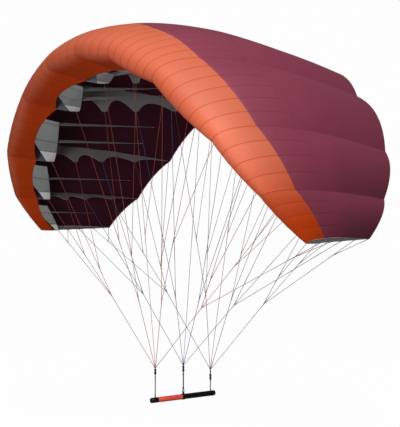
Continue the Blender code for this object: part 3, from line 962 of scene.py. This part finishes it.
def panel_front(cell, t):
    """Front edge of a belly panel: the lip, then from its corner a straight slant to the outer rib."""
    corner = PANEL_CORNERS[cell]
    slant = np.clip((t - corner) / (1.0 - corner), 0.0, 1.0)
    return np.where(t < corner, lip_chord(cell, t), mix(lip_chord(cell, corner), PANEL_FRONT_END, slant))


def panel_rear(cell, t):
    """Rear edge of a belly panel: a straight line to the back of the outer rib's front tab."""
    start = PANEL_STARTS[cell]
    return PANEL_REAR_STARTS[cell] + (PANEL_REAR_END - PANEL_REAR_STARTS[cell]) * (t - start) / (1.0 - start)


def belly_panel(side, cell):
    """One pale panel, drawn between its two edges, with a seam at each tape and painted light at its end: a paler
    colour behind a seam line.
    """
    shares = np.concatenate([np.linspace(PANEL_STARTS[cell], PANEL_LIT_END, 36), LIT_END_COLUMNS])
    x = mix(panel_front(cell, shares), panel_rear(cell, shares), PANEL_ROWS)
    t = np.broadcast_to(shares, x.shape)
    points, swell, width = between_ribs(side, cell, x, t, False)
    points = points - swell * (LAP_DROP * (1.0 - smooth(PANEL_ROWS / PANEL_SINK_ROWS)))[..., None]
    seams = np.array([run[0] for run in TAPE_RUNS[cell]] + [PANEL_LIT_END])
    mark = np.abs(t[..., None] - seams).min(axis=-1) * width
    end = f"{LETTERS[side]}{cell + 1}"
    # painted light: the tint makes the panel's outer end paler
    layers = {"place": surface_place(points), "marks": mark, "tints": (t > PANEL_LIT_END).astype(float)}
    layers = {key: values[:, ::side] for key, values in layers.items()}
    obj = one_grid(f"belly_panel_{end}", BELLY_CLOTH, points[:, ::side], **layers)
    thicken(obj, 0.0)
    belongs(obj, "wing", "nose", f"nose_{end}")
    declare_sheet(obj, points, "nose_cloth", [belly_tapes(side, cell)])


def tape_edge(side, cell, share, end_share, end_chord):
    """A tape's lower edge: over the panel to its rear edge, then straight to the canopy's underside.

    Also gives the way into the wing along it and the tape's depth there.
    """
    front, rear = panel_front(cell, share) + TAPE_START, panel_rear(cell, share)
    x = np.linspace(float(front), float(rear), TAPE_OVER_ROWS)[:, None]
    over, outward, _ = between_ribs(side, cell, x, np.full_like(x, share), False)
    x = np.array([[end_chord - 0.01], [end_chord]])
    end, lift, _ = between_ribs(side, cell, x, np.full_like(x, end_share), True)
    end = end[1, 0] - lift[1, 0] * (TAPE_REAR_DEPTH + TAPE_GAP)
    free = straight(over[-1, 0], end, TAPE_FREE_ROWS)[1:]
    turn = np.linspace(0.0, 1.0, TAPE_FREE_ROWS)[1:, None]
    inward = np.vstack([-outward[:, 0], unit(-outward[-1, 0] * (1.0 - turn) + lift[1, 0] * turn)])
    depth = np.concatenate([np.linspace(TAPE_TIP_DEPTH, TAPE_FRONT_DEPTH, TAPE_OVER_ROWS),
                            mix(TAPE_FRONT_DEPTH, TAPE_REAR_DEPTH, turn[:, 0])])
    return np.vstack([over[:, 0], free]), inward, depth


def belly_tapes(side, cell):
    """The grey tapes of one cell, thin standing bands: a flat oval carried along, narrower to the rear."""
    grids = Grids()
    for run in TAPE_RUNS[cell]:
        edge, inward, depth = tape_edge(side, cell, *run)
        tangent = unit(np.gradient(edge, axis=0))
        sideways = unit(np.cross(inward, tangent))
        inward = np.cross(tangent, sideways)
        path = edge + inward * (0.5 * depth[:, None] + TAPE_GAP)
        oval = circle(TAPE_SIDES)[None] * stacked(TAPE_HALF, 0.5 * depth)[:, None]
        grids.add(carried(path, sideways, inward, oval), wrap_columns=True, caps=True)
    return belongs(grids.build(f"belly_tapes_{LETTERS[side]}{cell + 1}", TAPE_CLOTH), "wing", "rib")


# The ribs
RIB_HALF = 0.0005
RIB_HEM_HALF = 0.0010
RIB_TOP_GAP = 0.0002
RIB_FIRST_CHORD = 0.012
RIB_LAST_CHORD = 0.9985
RIB_FRONT = 0.215
RIB_FRONT_RUN = 0.006
HEM_WIDTH = 0.008
HEM_EDGE = 0.0012
HEM_STEPS = np.array([0.0, 0.0006, 0.0012, 0.0068, 0.0080, 0.0092, 0.0130])
HEM_SHARES = 0.04 + 0.055 * np.arange(len(HEM_STEPS))
PATCH_REACH = 0.030
PATCH_EDGE = 0.004
PATCH_LEAST = 0.35
PATCH_SHARE = 0.7
LOOP_RISE = 0.0035
LOOP_TALL = 0.0052
LOOP_WIDE = 0.0024
LOOP_BAND = np.array([0.0035, 0.0004])
LOOP_STEPS = 24
PIPING_RADIUS = 0.0015
PIPING_LIFT = 0.0012
PIPING_SHIFT = 0.0016


def arch_spans():
    """Start and end chord share of each arch between two tabs; the last one runs past the tail."""
    stops = TAB_CHORDS + (1.0 + TAB_HALF,)
    return [(front + TAB_HALF, rear - TAB_HALF) for front, rear in zip(stops, stops[1:])]


def arch_foot(station, x):
    """Lower edge of a rib: the under-nose, then tabs on their line with a sine arch between each two."""
    low = station.under(x)
    for start, end in arch_spans():
        arch = arch_wave((x - start) / (end - start)) ** ARCH_ROUNDNESS
        low = low + station.arch * (station.top(x) - station.tab_line(x)) * arch
    return low


def rib_columns():
    """Chord shares of a rib's columns: squares at the nose, then closer at the tabs' corners."""
    parts = [np.linspace(RIB_FIRST_CHORD, math.sqrt(TAB_CHORDS[0] - TAB_HALF), 20) ** 2]
    for front, (start, end) in zip(TAB_CHORDS, arch_spans()):
        parts.append(np.linspace(front - TAB_HALF, start, 5)[1:])
        parts.append(mix(start, end, 0.5 - 0.5 * np.cos(math.pi * np.linspace(0.0, 1.0, 22)))[1:])
    columns = np.concatenate(parts)
    return columns[columns < RIB_LAST_CHORD]


def rib_cloth(index, side):
    """A rib: for each chord share a thin closed profile from its lower edge to the skin.

    It is thicker in its hem and in a patch at each tab, a bell curve of the distance from it.
    """
    station = STATIONS[side][index]
    x = rib_columns()
    low = (arch_foot(station, x) * station.chord)[:, None]
    tall = (station.top(x) * station.chord - RIB_TOP_GAP)[:, None] - low
    along = (x * station.chord)[:, None]
    reach = np.minimum(HEM_STEPS[None], tall * HEM_SHARES)
    height = np.hstack([reach, mix(reach[:, -1:], tall, np.linspace(0.0, 1.0, 9)[1:])])
    hem = 1.0 - smooth((height - HEM_WIDTH) / HEM_EDGE)
    tab = np.exp(-((x[:, None] - np.array(TAB_CHORDS)) * station.chord / PATCH_REACH) ** 2).max(axis=1)
    patch = tab[:, None] * (1.0 - smooth((height - PATCH_REACH) / PATCH_EDGE))
    half = mix(RIB_HALF, RIB_HEM_HALF, np.maximum(hem, PATCH_SHARE * (patch > PATCH_LEAST)))
    half = half * smooth(0.35 + height / HEM_EDGE)
    middle = (station.nose + station.along * along)[:, None] + station.up * (low + height)[..., None]
    shift = station.face * half[..., None]
    place = stacked(along, low + height)
    mark = np.abs(height - 0.5 * HEM_WIDTH) + 0.0002
    ring, place, mark = (np.concatenate([first, second[:, ::-1]], axis=1) for first, second in
                         ((middle + shift, middle - shift), (place, place), (mark, mark)))
    tint = (1.0 - smooth((x - RIB_FRONT) / RIB_FRONT_RUN))[:, None] * (index < CELLS_PER_SIDE)
    label = f"{LETTERS[side]}{index}" if index else "0"
    obj = one_grid(f"rib_cloth_{label}", RIB_CLOTH, ring, wrap_columns=True, caps=True, place=place,
                   marks=mark, tints=tint)
    belongs(obj, "wing", "rib", f"rib_{label}")
    pieces = [tab_loops(label, station)]
    if index == CELLS_PER_SIDE:
        pieces.append(edge_piping(side))
    declare_sheet(obj, middle, "canopy_cloth", pieces, (x[-1] - x[0]) * station.chord)


def tab_loops(label, station):
    """Small webbing loops sewn to a rib's tabs: a flat band carried round an oval at each line's end."""
    grids = Grids()
    angle = np.linspace(-0.5 * math.pi, 1.5 * math.pi, LOOP_STEPS + 1)[:-1, None]
    for x in TAB_CHORDS:
        centre = station.line_point(x) + station.up * LOOP_RISE
        path = centre + station.up * (LOOP_TALL * np.sin(angle)) + station.face * (LOOP_WIDE * np.cos(angle))
        out = unit(station.up * (np.sin(angle) / LOOP_TALL) + station.face * (np.cos(angle) / LOOP_WIDE))
        ring = carried(path, np.broadcast_to(station.along, path.shape), out, circle(8) * LOOP_BAND)
        grids.add(ring, wrap_rows=True, wrap_columns=True)
    return belongs(grids.build(f"tab_loops_{label}", TAPE_CLOTH), "wing", "rib")


def edge_piping(side):
    """A round pale piping sewn along a tip's upper edge from nose to tail."""
    station = STATIONS[side][CELLS_PER_SIDE]
    x = np.linspace(0.02, 0.998, 60) ** 1.5
    path = station.point(x, station.top(x)) + station.up * PIPING_LIFT - station.face * (PIPING_SHIFT * side)
    grids = Grids()
    add_tube(grids, path, PIPING_RADIUS)
    return belongs(grids.build(f"tip_piping_{LETTERS[side]}", PIPING_CLOTH), "wing", "rib")


# The lines
MAIN_RADIUS = 0.0015
BRANCH_RADIUS = 0.0014
SPLICE_RADIUS = 0.0017
SPLICE_LENGTH = 0.045
MAIN_KNOT = 0.0030
FORK_KNOT = 0.0022
KNOT_LENGTH = 3.2
# The ribs, each as its index and side, that share one main line
LINE_GROUPS = (((0, 1),), ((1, 1), (2, 1)), ((3, 1), (4, 1), (5, 1)),
               ((1, -1), (2, -1)), ((3, -1), (4, -1), (5, -1)))
FORK_HEIGHTS = (0.92, 0.80, 0.88, 0.70, 0.78, 0.84)
TAIL_LINE_CHORD = 0.988
LINE_BASE_RADII = (0.0036, 0.0056, 0.0064, 0.0058, 0.0040)
LINE_START = 0.7


def add_line(grids, start, end, radius):
    """A taut line with a thicker splice at each end."""
    length = float(np.linalg.norm(end - start))
    ends = np.array([0.0, 0.5, 0.92, 1.0]) * min(SPLICE_LENGTH, 0.4 * length) / length
    share = np.concatenate([ends, np.linspace(0.25, 0.75, 5), 1.0 - ends[::-1]])
    radii = np.where(np.minimum(share, 1.0 - share) < ends[2] + 1e-6, SPLICE_RADIUS, radius)
    add_tube(grids, mix(start, end, share[:, None]), radii, 6)


def add_knot(grids, centre, way, radius):
    """A small knot: a ball drawn out along the line, its radius a sine to a power of the way along."""
    share = np.linspace(0.03, 0.97, 9)
    path = centre + way * ((share - 0.5) * KNOT_LENGTH * radius)[:, None]
    add_tube(grids, path, radius * np.sin(math.pi * share) ** 0.6)


def line_set(word, tab_chord, fork_chord, anchor, finish):
    """One row of lines: five mains, knots on the outer four, a branch to each rib, and forks near them."""
    grids = Grids()
    for members in LINE_GROUPS:
        targets = np.array([STATIONS[side][index].line_point(tab_chord) for index, side in members])
        middle = targets.mean(axis=0)
        spread = LINE_SPREAD * np.clip(middle[1] / LINE_SPREAD_REACH, -1.0, 1.0)
        foot = anchor + np.array([0.0, spread, LINE_START * LINE_BASE_HEIGHT])
        knot = foot
        if len(members) > 1:
            knot = mix(foot, middle, (BAR_Z + KNOT_HEIGHT - foot[2]) / (middle[2] - foot[2]))
            add_line(grids, foot, knot, MAIN_RADIUS)
            add_knot(grids, knot, unit(middle - foot), MAIN_KNOT)
        for (index, side), target in zip(members, targets):
            fork = mix(knot, target, (BAR_Z + FORK_HEIGHTS[index] - knot[2]) / (target[2] - knot[2]))
            add_line(grids, knot, fork, BRANCH_RADIUS)
            add_line(grids, fork, target, BRANCH_RADIUS)
            if fork_chord:
                add_knot(grids, fork, unit(target - knot), FORK_KNOT)
                add_line(grids, fork, STATIONS[side][index].line_point(fork_chord), BRANCH_RADIUS)
    belongs(grids.build(f"{word}_line_set", finish), "wing", f"lines_{word}", f"{word}_lines")
    base = Grids()
    up = np.array([0.0, 0.0, 1.0])
    path = straight(anchor + up * SEAT_GAP, anchor + up * LINE_BASE_HEIGHT, len(LINE_BASE_RADII))
    add_tube(base, path, LINE_BASE_RADII, 16)
    belongs(base.build(f"{word}_line_knot", SLEEVE_BRAID), "wing", "webbing", f"{word}_lines")


# The leaders, connectors and ring
WHIPPING = 1.18
CORD = 1.08 * LEADER_RADIUS
MIDDLE_CORD = 1.25 * CORD
MIDDLE_KNOT = 1.35
TAIL_CORD = 1.35 * LEADER_RADIUS
WHIPPED = 0.15
CORD_SHARES = np.concatenate([np.linspace(0.0, 0.14, 5), np.linspace(0.16, 0.84, 20),
                              np.linspace(0.86, 1.0, 5)])
EYE_STEPS = np.linspace(-0.95, 0.95, 9)
SLEEVE_POWER = 0.35
SLEEVE_LEAST = 0.4
WAIST = 0.22
WAIST_PLACE = 0.55
WAIST_HALF = 0.07
WOUND_SPANS = ((0.16, 0.42), (0.68, 0.86))
WOUND_STEPS = 97
WOUND_TURNS = 4
WOUND_PLACE = 0.94
WOUND_RADIUS = 0.0009


def vertical(x, z):
    """A straight vertical path at x through the heights z."""
    return stacked(x, 0.0, z)


def add_eye(grids, x, z):
    """A round eye on top of a cord, a ball with its ends cut off."""
    add_tube(grids, vertical(x, z + EYE_RADIUS * EYE_STEPS), EYE_RADIUS * np.sqrt(1.0 - EYE_STEPS ** 2), 12)


def braided_leader(word, x, foot, top, radius=CORD, knot=WHIPPING, eye=True, blend=True):
    """A leader: a braided cord with a whipped splice at each end, a knot at its foot and an eye on top.

    A blended one stretches between its top on the leaders and its foot on the bar.
    """
    thick = np.where(CORD_SHARES > 1.0 - WHIPPED, WHIPPING, np.where(CORD_SHARES < WHIPPED, knot, 1.0))
    grids = Grids()
    add_tube(grids, vertical(x, mix(foot, top, CORD_SHARES)), radius * thick, 12)
    if eye:
        add_eye(grids, x, top)
    obj = grids.build(f"{word}_leader_braid", BLACK_BRAID)
    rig.replaces(obj, f"{word}_leader")
    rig.slot(obj, "webbing")
    if blend:
        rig.blend(obj, "leaders", "bar", start=(x, 0.0, top), end=(x, 0.0, foot))
    else:
        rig.ride(obj, "leaders")


def connector_sleeve(word, x, foot, body, tail_top=None):
    """A connector: a knotted sleeve with a waist and a cord wound round both ends, and a tail if it has one.

    Its radius is half a sine to a power along it, less a bell curve at the waist.
    """
    share = np.linspace(0.0, 1.0, 33)
    waist = WAIST * np.exp(-((share - WAIST_PLACE) / WAIST_HALF) ** 2)
    knot = np.maximum(np.sin(math.pi * share) ** SLEEVE_POWER * (1.0 - waist), SLEEVE_LEAST)
    grids = Grids()
    add_tube(grids, vertical(x, foot + CONNECTOR_LENGTH * share), CONNECTOR_RADIUS * knot, 16)
    turn = np.linspace(0.0, 2.0 * WOUND_TURNS * math.pi, WOUND_STEPS)
    wound = stacked(np.cos(turn), np.sin(turn), 0.0) * (WOUND_PLACE * CONNECTOR_RADIUS)
    for span in WOUND_SPANS:
        z = foot + CONNECTOR_LENGTH * np.linspace(*span, WOUND_STEPS)
        add_tube(grids, vertical(x, z) + wound, WOUND_RADIUS, 6)
    if tail_top is not None:
        z = np.linspace(foot + CONNECTOR_LENGTH - EYE_RADIUS, tail_top, 10)
        add_tube(grids, vertical(x, z), TAIL_CORD, 12)
        add_eye(grids, x, tail_top)
    obj = grids.build(f"{word}_connector_sleeve", SLEEVE_BRAID)
    belongs(obj, body, "webbing", f"{word}_connector")


def ring_piece():
    """The swivel ring: a round wire bent to a circle in the plane across the bar's pull."""
    angle = turns(48)
    out = stacked(0.0, np.cos(angle), np.sin(angle))
    path = np.array([0.0, 0.0, RING_Z + RING_RADIUS]) + out * RING_RADIUS
    ring = carried(path, out, np.broadcast_to([1.0, 0.0, 0.0], out.shape), circle(14, RING_WIRE))
    obj = one_grid("swivel_ring_wire", STEEL, ring, wrap_rows=True, wrap_columns=True)
    belongs(obj, "leaders", "steel", "swivel_ring")


# The bar
BORE = TUBE_RADIUS + SEAT_GAP
TURNED_STEPS = 48
GRIP_END = 0.002
GROOVE_DEPTH = 0.0005
GROOVE_POWER = 0.35
GROOVES_BESIDE_END = 3.0
CAP_EDGE = 0.0006
CAP_GROOVE = ((0.011, 0.0), (0.0105, 0.0008), (0.0095, 0.0008), (0.009, 0.0))
CAP_DIMPLE = 0.0012
DIMPLE_RADII = (0.0052, 0.0045)
AXIS_GAP = 0.0002
COLLAR_ROUND = 0.0015
COLLAR_GROOVE = ((0.003, 0.0), (0.0024, 0.0006), (-0.0024, 0.0006), (-0.003, 0.0))
LUG_EDGE = 0.0005


def turned(name, profile, finish):
    """A closed profile of (x, radius) pairs turned round the bar's axis."""
    x, radius = np.asarray(profile, float).T
    angle = turns(TURNED_STEPS)[:, None]
    points = stacked(x[None], radius * np.cos(angle), BAR_Z + radius * np.sin(angle))
    return one_grid(name, finish, points, wrap_rows=True, wrap_columns=True)


def quarter(steps):
    """Even angles from 0 to a quarter turn."""
    return np.linspace(0.0, 0.5 * math.pi, steps)


def grip_profile(start, end, grooves):
    """A grip's outline: rounded ends, three shallow grooves beside each, cosines to a power, and its bore."""
    x = np.linspace(start, end, 8 * grooves + 9)
    wave = 0.5 - 0.5 * np.cos(2.0 * math.pi * grooves * ((x - start) / (end - start)))
    edge = np.minimum(x - start, end - x)
    round_end = np.sqrt(np.clip(1.0 - (1.0 - np.clip(edge / GRIP_END, 0.0, 1.0)) ** 2, 0.0, 1.0))
    beside_end = edge < GROOVES_BESIDE_END * (end - start) / grooves
    cut = GROOVE_DEPTH * (1.0 - wave ** GROOVE_POWER) * beside_end
    outer = BAR_RADIUS - GRIP_END * (1.0 - round_end) - cut
    return np.vstack([stacked(x, outer), [[end, BORE], [start, BORE]]])


def cap_profile(near, far):
    """An end cap's outline: a groove round it, a rounded edge and a dimple in its end."""
    steps = quarter(9)
    edge = np.array([far, BAR_RADIUS]) - CAP_ROUND * (1.0 - stacked(np.sin(steps), np.cos(steps)))
    groove = [[far - back, BAR_RADIUS - depth] for back, depth in CAP_GROOVE]
    foot = [[near, AXIS_GAP], [near, BAR_RADIUS - CAP_EDGE], [near + CAP_EDGE, BAR_RADIUS]]
    bottom = far - CAP_DIMPLE
    dimple = [[far, DIMPLE_RADII[0]], [bottom, DIMPLE_RADII[1]], [bottom, AXIS_GAP]]
    return np.vstack([foot, groove, edge, dimple])


def collar_profile():
    """The collar's outline: rounded rims, a groove round its middle, and its bore."""
    rim = BAR_RADIUS + COLLAR_WALL
    steps = quarter(6)
    right = np.array([COLLAR_HALF, rim]) - COLLAR_ROUND + stacked(np.cos(steps), np.sin(steps)) * COLLAR_ROUND
    groove = [[x, rim - depth] for x, depth in COLLAR_GROOVE]
    left = right[::-1] * np.array([-1.0, 1.0])
    return np.vstack([[COLLAR_HALF, BORE], right, groove, left, [-COLLAR_HALF, BORE]])[::-1]


def lug():
    """The collar's lug: a flat plate round its hole, its outer edge a half disc above and straight below."""
    cosine, sine = circle(56).T
    depth = RING_Z - (BAR_Z + TUBE_RADIUS + COLLAR_WALL)
    sides = LUG_RADIUS / np.maximum(np.abs(cosine), 1e-6)
    foot = depth / np.maximum(-sine, 1e-6)
    outer = np.where(sine < 0.0, np.minimum(sides, foot), LUG_RADIUS)
    hole = RING_WIRE + LUG_CLEARANCE
    half = ((hole, LUG_HALF - LUG_EDGE), (hole + LUG_EDGE, LUG_HALF), (outer - LUG_EDGE, LUG_HALF),
            (outer, LUG_HALF - LUG_EDGE))
    rings = [(radius, -y) for radius, y in half] + list(half[::-1])
    points = np.stack([stacked(radius * cosine, y, RING_Z + radius * sine) for radius, y in rings])
    return one_grid("collar_lug", BLACK_PLASTIC, points, wrap_rows=True, wrap_columns=True)


def bar_pieces():
    """Two rubber grips, the front sleeve, two end caps, the collar with its lug, and the tube's finish."""
    half = BAR_LENGTH / 2.0
    inner = half - CAP_LENGTH
    sleeve_start = inner - FRONT_SLEEVE_LENGTH
    grips = (("front_grip", COLLAR_HALF + SEAT_GAP, sleeve_start - SEAT_GAP, 20, RED_RUBBER, "grip_red"),
             ("rear_grip", -inner + SEAT_GAP, -COLLAR_HALF - SEAT_GAP, 23, BLACK_RUBBER, "grip_black"),
             ("front_sleeve", sleeve_start, inner - SEAT_GAP, 3, BLACK_RUBBER, "grip_black"))
    for name, start, end, grooves, finish, slot in grips:
        belongs(turned(f"{name}_rubber", grip_profile(start, end, grooves), finish), "bar", slot, name)
    for word, sign in (("front", 1), ("rear", -1)):
        outline = (cap_profile(inner + SEAT_GAP, half) * np.array([sign, 1.0]))[::sign]
        belongs(turned(f"{word}_end_cap", outline, BLACK_PLASTIC), "bar", "moulded", f"{word}_cap")
    for obj in (turned("collar_body", collar_profile(), BLACK_PLASTIC), lug()):
        belongs(obj, "bar", "moulded", "centre_collar")
    tube = frame["nodes"]["bar_tube"]
    tube.data.materials.clear()
    tube.data.materials.append(DARK_TUBE)


# Stage, light and camera
FLOOR_Z = BAR_Z - 0.35
FLOOR_HALF = 20.0
FLOOR_SHOWN = 0.975
FLOOR_SEEN_BASE = 0.03
ROOM_SHOWN = 0.985
ROOM_LIGHT = 0.13
WHITE = (1.0, 1.0, 1.0, 1.0)
# For each light: name, place, the point that it looks at, size, power and spread
LIGHTS = (("soft key", (1.8, 2.7, 3.7), (0.0, 0.0, -0.5), 3.0, 296.0, math.pi),
          ("soft fill", (5.0, 2.8, -1.6), (0.0, 0.0, -0.9), 2.5, 190.0, math.pi),
          ("bar light", (1.4, 1.5, -0.5), (0.0, 0.0, BAR_Z), 0.8, 2.2, math.radians(40.0)))
CAMERA_PLACE = (3.6523, 5.1748, -0.9299)
CAMERA_AZIMUTH = math.radians(53.946)
CAMERA_DIP = math.radians(0.7835)
CAMERA_ROLL = math.radians(0.097)
CAMERA_LENS = 94.5
SENSOR = 36.0
FAR_END = 60.0


def pale_paper():
    """The floor's finish: pale paper that looks as light as the room and is clear from below."""
    material, tree, shader = new_material("pale paper")
    material.cycles.emission_sampling = "NONE"
    thrown = slow_tone(tree, 0.6, (0.24, 0.24, 0.242, 1.0), (0.26, 0.26, 0.26, 1.0))
    seen = node(tree, "ShaderNodeLightPath").outputs["Is Camera Ray"]
    fill(tree, shader, {"Base Color": colour_mix(tree, seen, thrown, tinted(WHITE[:3], FLOOR_SEEN_BASE)),
                        "Roughness": 0.9, "Specular IOR Level": 0.0, "Emission Color": WHITE,
                        "Emission Strength": times(tree, seen, FLOOR_SHOWN)})
    behind = node(tree, "ShaderNodeNewGeometry").outputs["Backfacing"]
    finish_with(tree, behind, shader, node(tree, "ShaderNodeBsdfTransparent"))
    return material


def stage():
    """A pale flat floor under the wing."""
    steps = np.linspace(-FLOOR_HALF, FLOOR_HALF, 9)
    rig.stage(one_grid("floor", pale_paper(), stacked(steps, steps[:, None], FLOOR_Z)))


def place_object(name, data, place, turn):
    """Put a light or camera at its place."""
    obj = bpy.data.objects.new(name, data)
    bpy.context.scene.collection.objects.link(obj)
    obj.location = place
    obj.rotation_euler = turn.to_euler()
    return obj


def light_the_room():
    """Soft light from above, a fill from in front, a small one for the bar, and a pale room."""
    for name, place, target, size, power, spread in LIGHTS:
        data = bpy.data.lights.new(name, "AREA")
        data.shape = "SQUARE"
        data.size, data.energy, data.spread = size, power, spread
        place_object(name, data, place, (Vector(target) - Vector(place)).to_track_quat("-Z", "Y"))
    world = bpy.data.worlds.new("pale room")
    bpy.context.scene.world = world
    world.use_nodes = True
    tree = world.node_tree
    seen = node(tree, "ShaderNodeLightPath").outputs["Is Camera Ray"]
    strength = plus(tree, times(tree, seen, ROOM_SHOWN - ROOM_LIGHT), ROOM_LIGHT)
    fill(tree, tree.nodes["Background"], {"Color": WHITE, "Strength": strength})


def set_camera():
    """The camera at the photograph's place."""
    data = bpy.data.cameras.new("camera")
    data.lens, data.sensor_width, data.clip_end = CAMERA_LENS, SENSOR, FAR_END
    ahead = -Vector((math.cos(CAMERA_DIP) * math.cos(CAMERA_AZIMUTH),
                     math.cos(CAMERA_DIP) * math.sin(CAMERA_AZIMUTH), math.sin(CAMERA_DIP)))
    turn = ahead.to_track_quat("-Z", "Y") @ Quaternion((0.0, 0.0, 1.0), CAMERA_ROLL)
    bpy.context.scene.camera = place_object("camera", data, CAMERA_PLACE, turn)
    bpy.context.scene.view_settings.view_transform = "Standard"


def dress():
    """Make every piece of the wing and the bar."""
    make_skins()
    cells = [(side, cell) for side in (1, -1) for cell in range(CELLS_PER_SIDE)]
    for side, cell in cells:
        belly_panel(side, cell)
    rib_cloth(0, 1)
    for side, cell in cells:
        rib_cloth(cell + 1, side)
    tail_top = SWING_Z + EYE_RADIUS + SEAT_GAP
    sleeve_top = tail_top + CONNECTOR_LENGTH + SEAT_GAP
    line_set("front", TAB_CHORDS[0], TAB_CHORDS[1], np.array([LEADER_X, 0.0, sleeve_top]), FRONT_LINE)
    line_set("middle", TAB_CHORDS[2], None, np.array([0.0, 0.0, sleeve_top]), MIDDLE_LINE)
    line_set("rear", TAB_CHORDS[3], TAIL_LINE_CHORD, np.array([-LEADER_X, 0.0, tail_top]), REAR_LINE)
    bar_top = BAR_Z + BAR_RADIUS + SEAT_GAP
    ring_top = RING_Z + 2.0 * RING_RADIUS + RING_WIRE + SEAT_GAP
    rear_foot = BAR_Z + REAR_CONNECTOR_HEIGHT
    braided_leader("front", LEADER_X, bar_top, SWING_Z)
    braided_leader("middle", 0.0, ring_top, SWING_Z, MIDDLE_CORD, MIDDLE_KNOT, blend=False)
    braided_leader("rear", -LEADER_X, bar_top, rear_foot - SEAT_GAP, eye=False)
    connector_sleeve("front", LEADER_X, tail_top, "wing")
    connector_sleeve("middle", 0.0, tail_top, "wing")
    connector_sleeve("rear", -LEADER_X, rear_foot, "leaders", SWING_Z)
    ring_piece()
    bar_pieces()


dress()
stage()
light_the_room()
set_camera()
boxes = {"cad": CAD_BOX, "visual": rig.bounds()}
with open("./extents.json", "w") as file:
    json.dump({key: [[float(value) for value in corner] for corner in box] for key, box in boxes.items()}, file)
